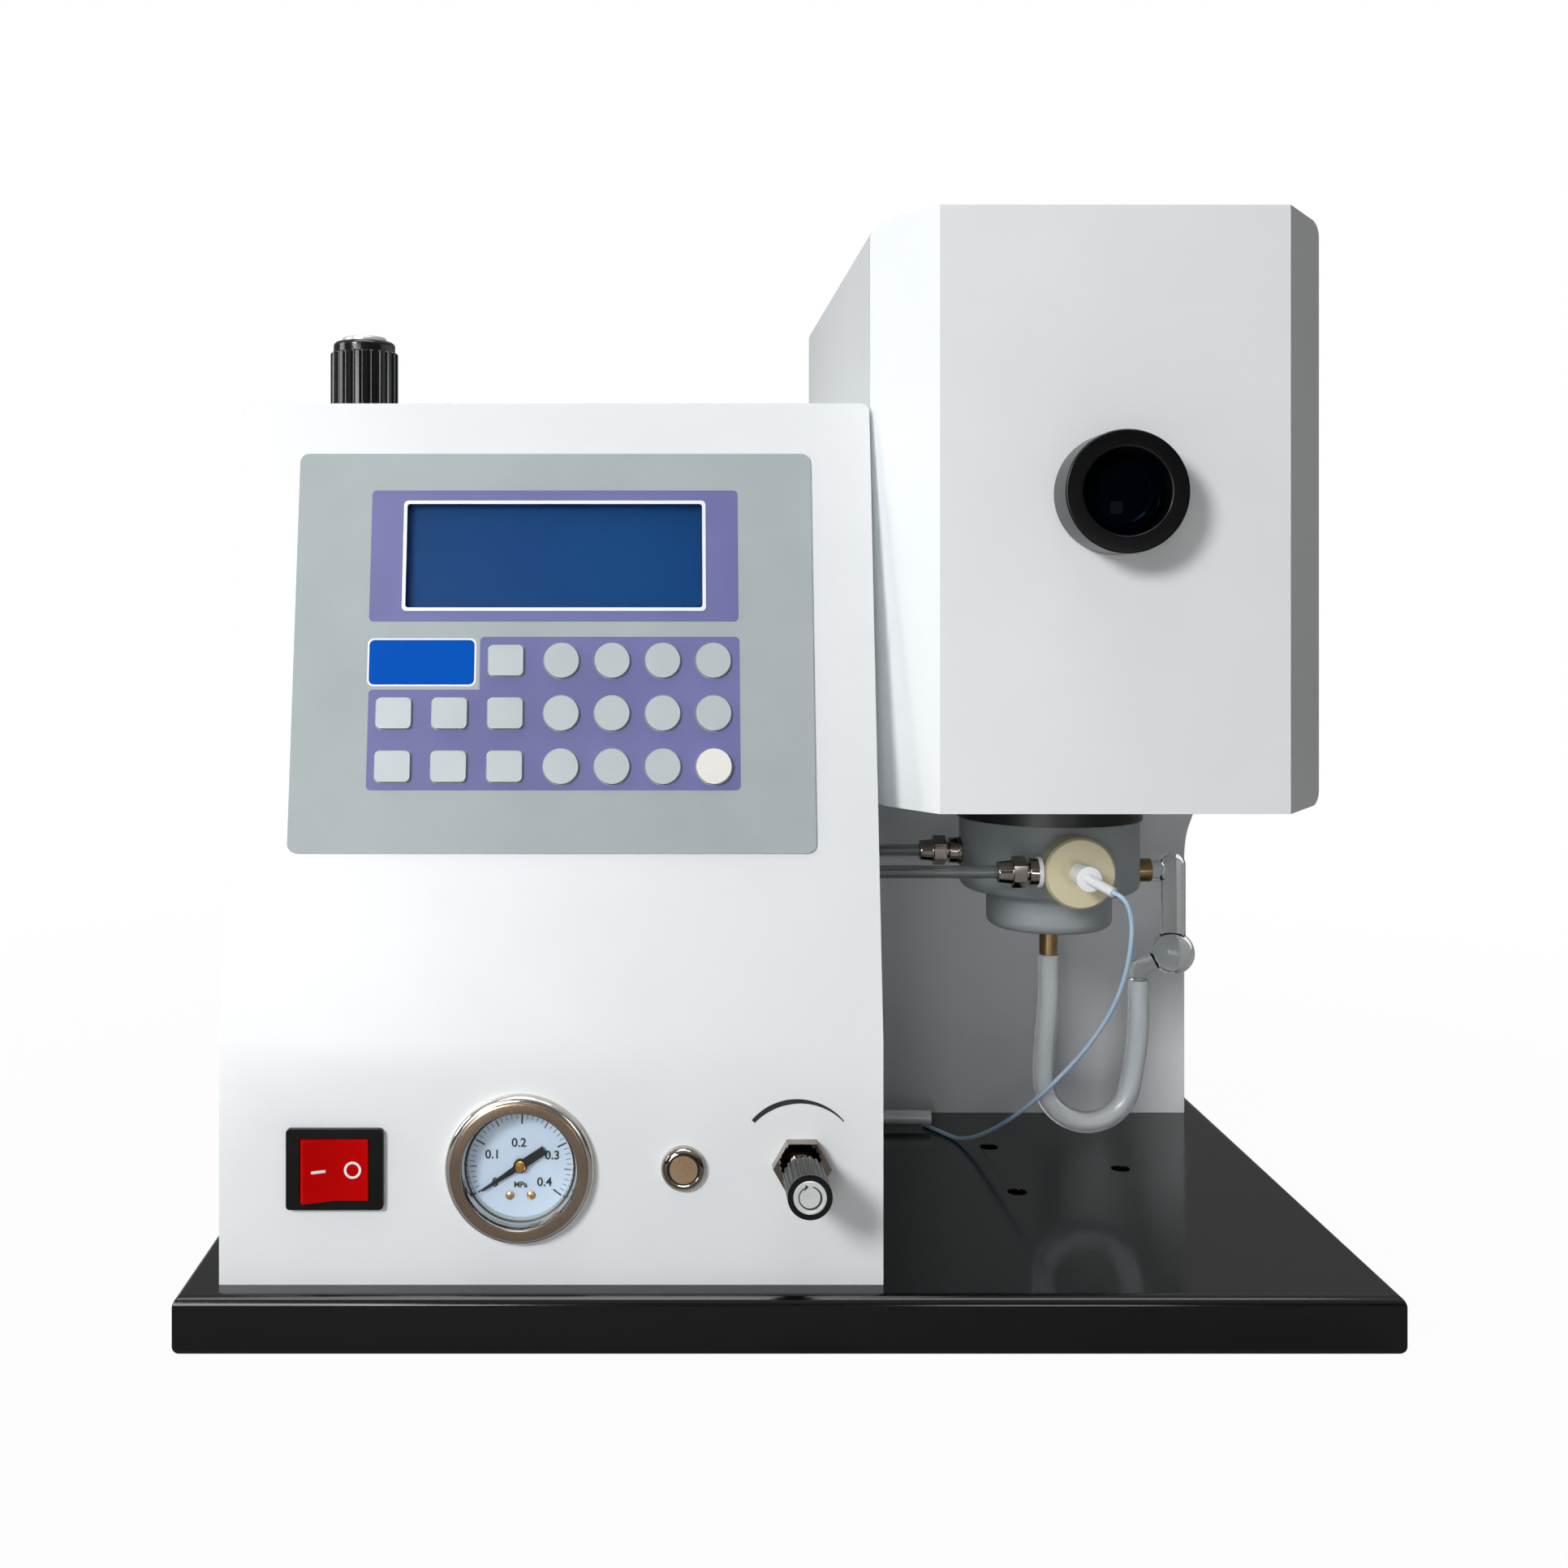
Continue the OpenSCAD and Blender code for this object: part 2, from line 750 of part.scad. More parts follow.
module base_block(inset, z0, z1) {
    w = base_w - 2 * inset;
    r = base_bend - inset;
    low = inset > 0 ? 0 : r;
    intersection() {
        along_y(behind(inset), behind(base_d - inset))
            translate([0, z0]) plate_2d(w, z1 - z0, low, r);
        along_x(-w / 2, w / 2) translate([behind(base_d / 2), z0])
            plate_2d(base_d - 2 * inset, z1 - z0, low, r);
    }
}

function accessory_spot(i) = [
    burner_cx + accessory_pcd / 2 * cos(120 * i),
    behind(accessory_y) + accessory_pcd / 2 * sin(120 * i)];

module base_tray() {
    color(black_paint) difference() {
        base_block(0, base_lift, base_h);
        base_block(base_wall, base_lift - cut, base_h - base_wall);
        for (i = [0:2]) translate(accessory_spot(i))
            rod(accessory_hole_d, base_h - base_wall - cut, base_h + cut);
    }
}

module base_feet() {
    foot_top = base_h - base_wall;
    foot_edge = 1;
    color(black_plastic)
        for (x = [-1, 1], y = [foot_inset, base_d - foot_inset])
            translate([x * (base_w / 2 - foot_inset), behind(y), 0]) {
                cylinder(d1 = foot_d - 2 * foot_edge, d2 = foot_d, h = foot_edge, $fn = 48);
                rod(foot_d, foot_edge, foot_top);
            }
}

// ---- Cabinet ----

// Side view of the cabinet, drawn in by inset; the back and the floor move on their own
module cabinet_side(inset, back, low) {
    lean = tan(panel_tilt);
    fold = fold_z - inset * tan(panel_tilt / 2);
    high = cab_z1 - inset;
    front = behind(cab_inset);
    polygon([
        [front + inset, low],
        [front + inset, fold],
        [front + (high - fold_z) * lean + inset / cos(panel_tilt), high],
        [back, high],
        [back, low]]);
}

module cabinet_block(inset, back, low) {
    intersection() {
        along_x(cab_x0 + inset, cab_x1 - inset) cabinet_side(inset, back, low);
        along_y(behind(0), back) translate([(cab_x0 + cab_x1) / 2, low])
            plate_2d(cab_w - 2 * inset, cab_z1 - inset - low, 0, cab_bend - inset / 2);
    }
}

// Screw places round a rear panel
function panel_screws(x0, x1, z0, z1) = [
    for (x = [x0 + flange_w / 2 + wall, x1 - flange_w / 2 - wall])
        for (z = [z0 + flange_w / 2 + wall, (z0 + z1) / 2, z1 - flange_w / 2 - wall]) [x, z]];
cab_screws = panel_screws(cab_x0, cab_x1, base_h, cab_z1);
column_screws = panel_screws(head_x0, head_x1, base_h, head_z1);

module panel_opening(x0, x1, z0, z1, back) {
    in = wall + flange_w;
    translate([x0 + in, behind(back) - 2 * wall - cut, z0 + in])
        cube([x1 - x0 - 2 * in, 2 * wall + 2 * cut, z1 - z0 - 2 * in]);
    translate([x0 + wall, behind(back) - wall, z0 + wall])
        cube([x1 - x0 - 2 * wall, wall + cut, z1 - z0 - 2 * wall]);
}

module screw_holes(spots, back) {
    for (s = spots) translate([s[0], behind(back) - 2 * wall - cut, s[1]])
        rotate([-90, 0, 0]) rod(screw_d, 0, 2 * wall + 2 * cut);
}

module post_spots_display() {
    for (x = [-1, 1], y = [-1, 1])
        translate([pad_cx + x * (module_w / 2 + display_post_d / 2 + display_post_out),
                   view_v + y * (module_h / 2 - display_post_in), 0]) children();
}

module post_spots_keys() {
    for (x = [key_board_x0 + post_edge, key_board_x1 - post_edge])
        for (v = [key_board_v0 + post_edge / 2, key_board_v1 - post_edge / 2])
            translate([x, v, 0]) children();
}

module cabinet_shell() {
    main_z = base_h + wall;
    color(white_paint) {
        difference() {
            cabinet_block(0, behind(cab_back), base_h);
            cabinet_block(wall, behind(cab_back) - 2 * wall, base_h + wall);
            panel_opening(cab_x0, cab_x1, base_h, cab_z1, cab_back);
            screw_holes(cab_screws, cab_back);
            on_slope() {
                translate([pad_cx, view_v, -wall - cut]) linear_extrude(wall + 2 * cut)
                    centred_plate_2d(window_w + 2 * slip, window_h + 2 * slip, 1);
                translate([key_bay_x0, key_bay_v0, -wall - cut])
                    cube([key_bay_x1 - key_bay_x0, key_bay_v1 - key_bay_v0, wall + 2 * cut]);
            }
            on_front(switch_x, control_z) translate([0, 0, -wall - cut])
                linear_extrude(wall + 2 * cut)
                    centred_plate_2d(switch_body_w + 2 * slip, switch_body_h + 2 * slip, 1);
            on_front(gauge_x, control_z) rod(gauge_d + 2 * slip, -wall - cut, cut);
            on_front(ignition_x, control_z)
                rod(ignition_thread_d + 2 * slip, -wall - cut, cut);
            on_front(valve_x, control_z + valve_up)
                rod(valve_thread_d + 2 * slip, -wall - cut, cut);
            translate([reg_cx, reg_cy, 0])
                rod(reg_thread_d + 2 * slip, cab_z1 - wall - cut, cab_z1 + cut);
            translate([cab_x1, air_hose_y, neb_z]) rotate([0, 90, 0])
                rod(gas_hose_d + 2 * hose_wall_gap, -wall - cut, cut);
            translate([cab_x1, burner_cy, fuel_z]) rotate([0, 90, 0])
                rod(gas_hose_d + 2 * hose_wall_gap, -wall - cut, cut);
            translate([cab_x1, sleeve_y, sleeve_z]) rotate([0, 90, 0])
                rod(sleeve_d + 2 * hose_wall_gap, -wall - cut, cut);
        }
        on_slope() {
            post_spots_display() rod(display_post_d, -display_board_w0, -wall / 2);
            post_spots_keys() rod(post_d, -key_board_drop, -wall / 2);
        }
        for (x = [main_x0 + post_edge, main_x0 + main_w - post_edge])
            for (y = [main_y0 + post_edge, main_y0 + main_d - post_edge])
                translate([x, y, 0]) rod(post_d, main_z, main_z + main_lift);
    }
}

module rear_panel(x0, x1, z0, z1, back, spots) {
    g = wall + panel_gap;
    difference() {
        translate([x0 + g, behind(back) - wall, z0 + g])
            cube([x1 - x0 - 2 * g, wall, z1 - z0 - 2 * g]);
        for (s = spots) translate([s[0], behind(back) - wall - cut, s[1]])
            rotate([-90, 0, 0]) rod(screw_d + 2 * screw_gap, 0, wall + 2 * cut);
        children();
    }
}

module rear_panels() {
    color(white_paint) {
        rear_panel(cab_x0, cab_x1, base_h, cab_z1, cab_back, cab_screws) {
            for (s = [air_inlet, fuel_inlet]) on_back(s[0], s[1])
                rod(spigot_d + 2 * slip, -wall - cut, cut);
            on_back(power_x, power_z) translate([0, 0, -wall - cut])
                linear_extrude(wall + 2 * cut) square(
                    [socket_body[0] + 2 * slip, socket_body[1] + 2 * slip], center = true);
            for (side = vent_sides, i = [0:vents - 1])
                on_back(cab_x0 + side * cab_w, cab_z1 - cab_vent_drop - i * vent_pitch)
                    vent_cut();
        }
        rear_panel(head_x0, head_x1, base_h, head_z1, head_back, column_screws) {
            for (i = [0:vents - 1])
                translate([(head_x0 + head_x1) / 2, behind(head_back),
                           head_z1 - head_vent_drop - i * vent_pitch])
                    rotate([-90, 0, 0]) vent_cut();
        }
    }
}

module vent_cut() {
    translate([0, 0, -wall - cut]) linear_extrude(wall + 2 * cut)
        centred_plate_2d(vent[0], vent[1], vent_corner);
}

module housing_screws() {
    color(steel) {
        for (s = cab_screws) translate([s[0], behind(cab_back), s[1]])
            rotate([-90, 0, 0]) pan_screw();
        for (s = column_screws) translate([s[0], behind(head_back), s[1]])
            rotate([-90, 0, 0]) pan_screw();
    }
}

module pan_screw() {
    difference() {
        union() {
            rod(screw_d - thread_depth, -screw_l, screw_head_t / 2);
            intersection() {
                rod(screw_head_d, 0, screw_head_t);
                translate([0, 0, screw_dome_w]) sphere(d = screw_dome_d);
            }
        }
        for (a = [45, 135]) rotate([0, 0, a])
            translate([0, 0, screw_head_t - screw_slot[2] / 4]) cube(screw_slot, center = true);
    }
}

// ---- Keypad and display ----

module keypad_overlay() {
    color([0.66, 0.70, 0.70]) on_slope() difference() {
        translate([pad_cx, pad_low, 0]) linear_extrude(pad_t)
            plate_2d(pad_w, pad_h, pad_corner, pad_corner);
        translate([pad_cx, view_v, -cut]) linear_extrude(pad_t + 2 * cut)
            centred_plate_2d(view_w, view_h, 1);
        for (i = [0:round_count - 1]) translate(round_spot(i))
            rod(round_key_d + 2 * slip, -cut, pad_t + cut);
        for (i = [0:square_count - 1]) translate(square_spot(i))
            translate([0, 0, -cut]) linear_extrude(pad_t + 2 * cut)
                centred_plate_2d(square_key_w + 2 * slip, square_key_h + 2 * slip, key_corner);
    }
}

// A round key of the given rise above the overlay
module round_key(i) {
    rise = i == round_count - 1 ? start_key_rise : key_rise;
    color([0.82, 0.85, 0.86]) on_slope() translate(round_spot(i)) {
        rod(round_key_d, -key_flange_t, pad_t + rise);
        rod(round_key_d + 2 * key_flange, -key_flange_t, 0);
        rod(key_stem_d, -key_flange_t - key_stem_l, -key_flange_t);
    }
}

module square_key(i) {
    color([0.82, 0.85, 0.86]) on_slope() translate(square_spot(i)) {
        translate([0, 0, -key_flange_t]) linear_extrude(pad_t + key_rise + key_flange_t)
            centred_plate_2d(square_key_w, square_key_h, key_corner);
        translate([0, 0, -key_flange_t]) linear_extrude(key_flange_t)
            centred_plate_2d(square_key_w + 2 * key_flange, square_key_h + 2 * key_flange,
                             key_corner);
        rod(key_stem_d, -key_flange_t - key_stem_l, -key_flange_t);
    }
}

module display_window() {
    color([0.8, 0.88, 0.95, 0.4]) on_slope() translate([pad_cx, view_v, -wall])
        linear_extrude(wall) centred_plate_2d(window_w, window_h, 1);
}

module display_module() {
    glass_drop = 1.2;
    color([0.11, 0.29, 0.50]) on_slope() translate([pad_cx, view_v, 0]) {
        difference() {
            translate([0, 0, -display_board_w0]) linear_extrude(module_t)
                centred_plate_2d(module_w, module_h, 1);
            translate([0, 0, -wall - module_gap - glass_drop])
                linear_extrude(glass_drop + cut) centred_plate_2d(view_w, view_h, 1);
        }
        translate([0, 0, -display_board_w0 - board_t]) linear_extrude(board_t)
            centred_plate_2d(display_board_w, display_board_h, 1);
    }
}

module circuit_boards() {
    main_z = base_h + wall + main_lift;
    color(board_green) {
        on_slope() {
            translate([key_board_x0, key_board_v0, -key_board_drop - board_t])
                cube([key_board_x1 - key_board_x0, key_board_v1 - key_board_v0, board_t]);
            spots = concat([for (i = [0:round_count - 1]) round_spot(i)],
                           [for (i = [0:square_count - 1]) square_spot(i)]);
            for (s = spots) translate([s[0], s[1], -key_board_drop]) {
                translate([-switch_pad / 2, -switch_pad / 2, 0])
                    cube([switch_pad, switch_pad, switch_pad_t]);
                rod(switch_dot_d, switch_pad_t, switch_pad_t + switch_dot_t);
            }
        }
        translate([main_x0, main_y0, main_z]) cube([main_w, main_d, board_t]);
        translate([main_x0, main_y0, main_z + board_t]) {
            translate(transformer_at) cube(transformer);
            for (i = [0:2]) translate([capacitor_at[0] + i * capacitor_pitch, capacitor_at[1], 0])
                cylinder(d = capacitor_d, h = capacitor_h);
            for (i = [0:1]) translate([chip_at[0], chip_at[1] + i * chip_pitch, 0])
                cube(chip);
        }
    }
}

// ---- Controls on the lower front ----

module rocker_cylinder(r, h) {
    rotate([90, 0, 0]) cylinder(r = r, h = h, center = true);
}

module switch_housing() {
    open_w = 2 * (rocker_r + rocker_gap);
    open_h = rocker_h + 2 * rocker_gap;
    color(black_plastic) on_front(switch_x, control_z) difference() {
        union() {
            linear_extrude(bezel_t) centred_plate_2d(switch_w, switch_h, switch_corner);
            translate([0, 0, -switch_depth]) linear_extrude(switch_depth + bezel_t / 2)
                centred_plate_2d(switch_body_w, switch_body_h, 1);
            for (i = [-1:1])
                translate([i * blade_pitch, 0, -switch_depth - blade[2] / 2 + cut / 2])
                    cube([blade[0], blade[1], blade[2] + cut], center = true);
        }
        translate([-open_w / 2, -open_h / 2, -switch_cavity])
            cube([open_w, open_h, switch_cavity + bezel_t + cut]);
        rocker_cylinder(rocker_pin_d / 2 + run, rocker_h + 2 * rocker_pin_l + 2 * rocker_gap);
    }
}

module power_rocker() {
    end_h = rocker_centre + rocker_r * tan(rocker_tilt);
    color([0.80, 0.02, 0.02]) on_front(switch_x, control_z) rotate([0, rocker_tilt, 0]) {
        intersection() {
            rocker_cylinder(rocker_r, rocker_h);
            rotate([90, 0, 0]) translate([0, 0, -rocker_h / 2]) linear_extrude(rocker_h)
                polygon([[-rocker_r, -rocker_back], [rocker_r, -rocker_back],
                         [rocker_r, end_h], [0, rocker_centre], [-rocker_r, end_h]]);
        }
        rocker_cylinder(rocker_pin_d / 2, rocker_h + 2 * rocker_pin_l);
    }
}

module gauge_case() {
    ledge_w = dial_w - dial_t;
    color(chrome) on_front(gauge_x, control_z) {
        difference() {
            union() {
                rod(gauge_flange_d, 0, gauge_flange_t);
                rod(gauge_bezel_d, 0, gauge_bezel_t);
                rod(gauge_d, -gauge_depth, gauge_flange_t);
                rod(gauge_stem_d, -gauge_depth - gauge_stem_l, -gauge_depth);
            }
            rod(gauge_window_d, 0, gauge_bezel_t + cut);
            rod(gauge_pocket_d, ledge_w, gauge_bezel_t - gauge_lip_t);
            rod(gauge_pocket_d - 2 * gauge_ledge, gauge_back_t - gauge_depth, 0);
        }
        tube(gauge_pocket_d - 2 * slip, gauge_window_d, dial_w, gauge_glass_w);
    }
}

module gauge_dial() {
    color([0.84, 0.88, 0.92]) on_front(gauge_x, control_z) {
        tube(gauge_pocket_d - 2 * slip, arbor_d + 2 * run, dial_w - dial_t, dial_w);
        tube(dial_bush_d, arbor_d + 2 * run, dial_bush_back, dial_w - dial_t);
    }
}

module gauge_glass() {
    color([0.85, 0.92, 0.95, 0.3]) on_front(gauge_x, control_z)
        rod(gauge_pocket_d - 2 * slip, gauge_glass_w, gauge_glass_w + gauge_glass_t);
}

module gauge_pointer() {
    color([0.05, 0.05, 0.05]) on_front(gauge_x, control_z) rotate([0, 0, pointer_zero]) {
        translate([0, 0, pointer_w]) linear_extrude(pointer_t) polygon([
            [-pointer_tail, -pointer_tail_w / 2], [-pointer_hub_d / 2, -pointer_tail_w / 2],
            [0, -pointer_hub_d / 4], [pointer_l, -pointer_tip_w / 2],
            [pointer_l, pointer_tip_w / 2], [0, pointer_hub_d / 4],
            [-pointer_hub_d / 2, pointer_tail_w / 2], [-pointer_tail, pointer_tail_w / 2]]);
        translate([0, 0, pointer_w - pointer_hub_back]) rod(pointer_hub_d, 0, pointer_hub_t);
        rod(arbor_d, arbor_back, pointer_w);
    }
}

module ignition_bush() {
    color(chrome) on_front(ignition_x, control_z) {
        difference() {
            union() {
                rod(ignition_flange_d, 0, ignition_flange_t);
                rod(ignition_thread_d, -ignition_depth, 0);
            }
            translate([0, 0, ignition_floor_t - ignition_depth]) {
                rod(ignition_cap_d + 2 * run, 0, 2 * ignition_depth);
                rod(ignition_collar_d + 2 * run, 0,
                    ignition_depth - ignition_floor_t + ignition_lip_w);
            }
        }
        difference() {
            hex(ignition_nut_d, -wall - ignition_nut_t, -wall);
            rod(ignition_thread_d + thread_gap, -wall - ignition_nut_t - cut, 0);
        }
    }
}

module ignition_button() {
    color([0.70, 0.66, 0.60]) on_front(ignition_x, control_z) {
        rod(ignition_cap_d, ignition_cap_back, ignition_proud);
        rod(ignition_collar_d, ignition_cap_back, ignition_lip_w);
    }
}

module valve_body() {
    color(steel) on_front(valve_x, control_z + valve_up) {
        hex(valve_nut_af, 0, valve_nut_t);
        rod(valve_neck_d, 0, valve_neck_w);
        rod(spindle_d, 0, valve_reach - knob_roof - knob_seat);
        rod(valve_thread_d, -valve_depth, 0);
        hex(valve_nut_af, -wall - back_nut_t, -wall);
        rod(valve_block_d, -valve_depth - valve_block_l, -valve_depth);
        rod(valve_spigot_d, -valve_depth - valve_block_l - valve_spigot_l, -valve_depth);
    }
}

module valve_knob() {
    back = valve_reach - valve_knob_l;
    color(black_plastic) on_front(valve_x, control_z + valve_up) difference() {
        rod(valve_knob_d, back, valve_reach);
        rod(spindle_d + 2 * run, back - cut, valve_reach - knob_roof);
        flutes(valve_knob_d, valve_flute_d, valve_flutes, back - cut, valve_reach - valve_rim);
    }
}

module regulator_body() {
    top = cab_z1 - wall;
    color(steel) translate([reg_cx, reg_cy, 0]) {
        rod(reg_thread_d, top - reg_nut_t, cab_z1 + reg_thread_out);
        rod(spindle_d, cab_z1, cab_z1 + reg_knob_h - knob_roof);
        hex(reg_nut_d, top - reg_nut_t, top);
        rod(reg_bonnet_d, top - reg_nut_t - reg_bonnet_h, top - reg_nut_t);
        rod(reg_block_d, top - reg_nut_t - reg_bonnet_h - reg_block_h,
            top - reg_nut_t - reg_bonnet_h);
        translate([0, 0, top - reg_nut_t - reg_bonnet_h - reg_block_h / 2])
            rotate([0, 90, 0]) rod(reg_port_d, -reg_block_d / 2 - reg_port_l,
                                   reg_block_d / 2 + reg_port_l);
    }
}

module regulator_knob() {
    low = cab_z1 + knob_seat;
    mid = cab_z1 + knob_seat + reg_knob_h;
    color(black_plastic) translate([reg_cx, reg_cy, 0]) difference() {
        union() {
            rod(reg_knob_d, low, mid);
            rod(reg_collar_d, mid, mid + reg_collar_h);
            rod(reg_cap_d, mid, mid + reg_collar_h + reg_cap_h);
        }
        rod(spindle_d + 2 * run, low - cut, mid - knob_roof);
        flutes(reg_knob_d, reg_flute_d, reg_flutes, low - cut, mid + cut);
    }
}

// ---- Connectors on the back of the cabinet ----

module power_inlet() {
    color(black_plastic) on_back(power_x, power_z) {
        difference() {
            union() {
                linear_extrude(socket_flange[2])
                    centred_plate_2d(socket_flange[0], socket_flange[1], 4);
                translate([0, 0, -socket_body[2]]) linear_extrude(socket_body[2])
                    square([socket_body[0], socket_body[1]], center = true);
            }
            translate([0, 0, socket_flange[2] - socket_depth])
                linear_extrude(socket_depth + cut)
                    centred_plate_2d(socket_w, socket_h, 3);
        }
        for (p = socket_blades)
            translate([p[0], p[1], socket_flange[2] - socket_depth + socket_blade[2] / 2])
                cube(socket_blade, center = true);
    }
}

module gas_inlets() {
    color(brass) for (s = [air_inlet, fuel_inlet]) on_back(s[0], s[1]) difference() {
        union() {
            hex(inlet_hex_af, 0, inlet_hex_t);
            rod(spigot_d, -wall, inlet_reach - spigot_edge);
            translate([0, 0, inlet_reach - spigot_edge])
                cylinder(d1 = spigot_d, d2 = spigot_d - 2 * inlet_groove, h = spigot_edge);
            hex(inlet_hex_af, -wall - back_nut_t, -wall);
            rod(valve_spigot_d, -wall - inlet_tail, -wall);
        }
        rod(inlet_bore_d, -inlet_tail - 2 * cut, inlet_reach + cut);
        for (i = [0:1]) translate([0, 0, inlet_hex_t + spigot_plain + i * inlet_groove_pitch])
            tube(spigot_d + cut, spigot_d - 2 * inlet_groove, 0, inlet_groove_w);
    }
}

// ---- Head and column ----

module head_plan(inset, back) {
    bevel_turn = inset * tan(atan2(bevel_w_left, bevel_d) / 2);
    polygon([
        [head_x0 + bevel_w_left + bevel_turn, behind(head_inset) + inset],
        [head_x1 - bevel_w_right - bevel_turn, behind(head_inset) + inset],
        [head_x1 - inset, behind(head_inset + bevel_d) + bevel_turn],
        [head_x1 - inset, back],
        [head_x0 + inset, back],
        [head_x0 + inset, behind(head_inset + bevel_d) + bevel_turn]]);
}

module head_block(inset, back) {
    h = head_h - 2 * inset;
    r = head_bend - inset;
    intersection() {
        translate([0, 0, head_z0 + inset]) linear_extrude(h) head_plan(inset, back);
        along_y(behind(0), back)
            translate([(head_x0 + head_x1) / 2, head_z0 + inset])
                plate_2d(head_w - 2 * inset, h, r, r);
    }
}

module head_shell() {
    back = behind(head_back);
    color(white_paint) difference() {
        head_block(0, back);
        head_block(wall, back - 2 * wall);
        panel_opening(head_x0, head_x1, base_h, head_z1, head_back);
        screw_holes(column_screws, head_back);
        translate([sight_x, behind(head_inset), sight_z]) rotate([90, 0, 0])
            rod(eyepiece_hole_d + 2 * slip, -wall - cut, cut);
        translate([burner_cx, burner_cy, 0]) {
            rod(burner_port_d, head_z0 - cut, head_z0 + wall + cut);
            rod(chimney_d, head_z1 - wall - cut, head_z1 + cut);
        }
        translate([(head_x0 + head_x1) / 2 - wire_slot[0] / 2,
                   behind(head_back) - column_rib - wire_slot[1], head_z0 - cut])
            cube([wire_slot[0], wire_slot[1], wall + 2 * cut]);
    }
}

// Side view of the column, with its forward bend under the head
module column_side(inset, back, low, high) {
    cy = behind(column_inset) - column_bend_r;
    cz = base_h + column_bend_h;
    r = column_bend_r + inset;
    turn = 45;
    bend_steps = 9;
    end_y = cy + r * cos(turn);
    end_z = cz + r * sin(turn);
    polygon(concat(
        [[cy + r, low]],
        [for (i = [0:bend_steps])
            let (a = turn * i / bend_steps) [cy + r * cos(a), cz + r * sin(a)]],
        [[end_y - (high - end_z), high], [back, high], [back, low]]));
}

module column_shell() {
    back = behind(head_back);
    color(white_paint) difference() {
        along_x(head_x0, head_x1) column_side(0, back, base_h, head_z0);
        along_x(head_x0 + wall, head_x1 - wall)
            column_side(wall, back - 2 * wall, base_h + wall, head_z0 + cut);
        panel_opening(head_x0, head_x1, base_h, head_z1, head_back);
        screw_holes(column_screws, head_back);
    }
}

module eyepiece_tube() {
    seat_w = eyepiece_l - lens_w;
    barrel_d = eyepiece_hole_d;
    pocket = lens_d + 2 * run;
    color(black_plastic) translate([sight_x, behind(head_inset), sight_z])
        rotate([90, 0, 0]) {
            difference() {
                union() {
                    rod(eyepiece_d, 0, eyepiece_l);
                    rod(barrel_d, -eyepiece_barrel, 0);
                }
                rod(eyepiece_bore_d, -eyepiece_barrel - cut, eyepiece_l + cut);
                rod(pocket, -eyepiece_barrel - cut, seat_w);
            }
            tube(lens_d, eyepiece_bore_d, seat_w - lens_t - retainer_t, seat_w - lens_t);
        }
}

module eyepiece_lens() {
    seat_w = eyepiece_l - lens_w;
    color([0.15, 0.25, 0.55, 0.5]) translate([sight_x, behind(head_inset), sight_z])
        rotate([90, 0, 0]) {
            rod(lens_d, seat_w - lens_t, seat_w);
            translate([0, 0, seat_w - lens_t / 2]) intersection() {
                rod(eyepiece_bore_d - 2 * lens_lip, 0, lens_t);
                translate([0, 0, -lens_dome_r])
                    sphere(r = lens_dome_r + lens_t / 2 + lens_bulge);
            }
        }
}

module flame_chimney() {
    low = sight_z - chimney_below;
    high = head_z1 - wall;
    color(steel) translate([burner_cx, burner_cy, 0]) difference() {
        union() {
            tube(chimney_d, chimney_d - 2 * chimney_wall, low, high);
            tube(chimney_d + 2 * chimney_flange, chimney_d - 2 * chimney_wall,
                 high - wall, high);
        }
        translate([sight_x - burner_cx, 0, sight_z]) rotate([90, 0, 0])
            rod(chimney_port_d, 0, chimney_d);
        translate([0, 0, sight_z]) rotate([0, -90, 0]) rod(light_path_d, 0, chimney_d);
    }
}

module burner_head() {
    color(brass) translate([burner_cx, burner_cy, 0]) {
        difference() {
            union() {
                rod(burner_tube_d, chamber_z1 - burner_tube_in, burner_top_z - burner_cap_h);
                rod(burner_cap_d, burner_top_z - burner_cap_h, burner_top_z);
            }
            rod(burner_tube_bore, chamber_z1 - burner_tube_in - cut, burner_top_z - burner_roof);
            rod(flame_hole_d, burner_top_z - burner_roof - cut, burner_top_z + cut);
            for (i = [0:burner_holes - 1]) rotate([0, 0, i * 360 / burner_holes])
                translate([burner_hole_pcd / 2, 0, 0])
                    rod(burner_hole_d, burner_top_z - burner_roof - cut, burner_top_z + cut);
        }
        translate([0, igniter_out, 0]) {
            rod(igniter_d, head_z0 + wall, burner_top_z + igniter_up);
            rod(igniter_foot_d, head_z0, head_z0 + wall + igniter_foot_h);
        }
    }
}

module burner_ring() {
    color(black_plastic) translate([burner_cx, burner_cy, 0]) {
        difference() {
            union() {
                rod(ring_d, chamber_z1, head_z0);
                rod(burner_port_d - 2 * slip, head_z0, head_z0 + wall + ring_step);
            }
            rod(burner_tube_d + 2 * slip, chamber_z1 - cut, head_z0 + wall + ring_step + cut);
            translate([0, igniter_out, 0])
                rod(igniter_foot_d + 2 * slip, head_z0, head_z0 + wall + ring_step + cut);
        }
    }
}

module detector_block() {
    x0 = head_x0 + wall;
    color([0.12, 0.12, 0.13]) difference() {
        translate([x0, burner_cy - detector_d / 2, sight_z - detector_h / 2])
            cube([detector_len, detector_d, detector_h]);
        translate([x0, burner_cy, sight_z]) rotate([0, 90, 0])
            rod(light_path_d, detector_face, detector_len + cut);
        for (side = [-1, 1])
            translate([x0 + filter_slot_edge,
                       burner_cy + side * filter_slot_out - filter_slot_w / 2,
                       sight_z - filter_slot_edge])
                cube([detector_len - 2 * filter_slot_edge, filter_slot_w, detector_h]);
    }
}

// ---- Mixing chamber, nebulizer and fittings ----

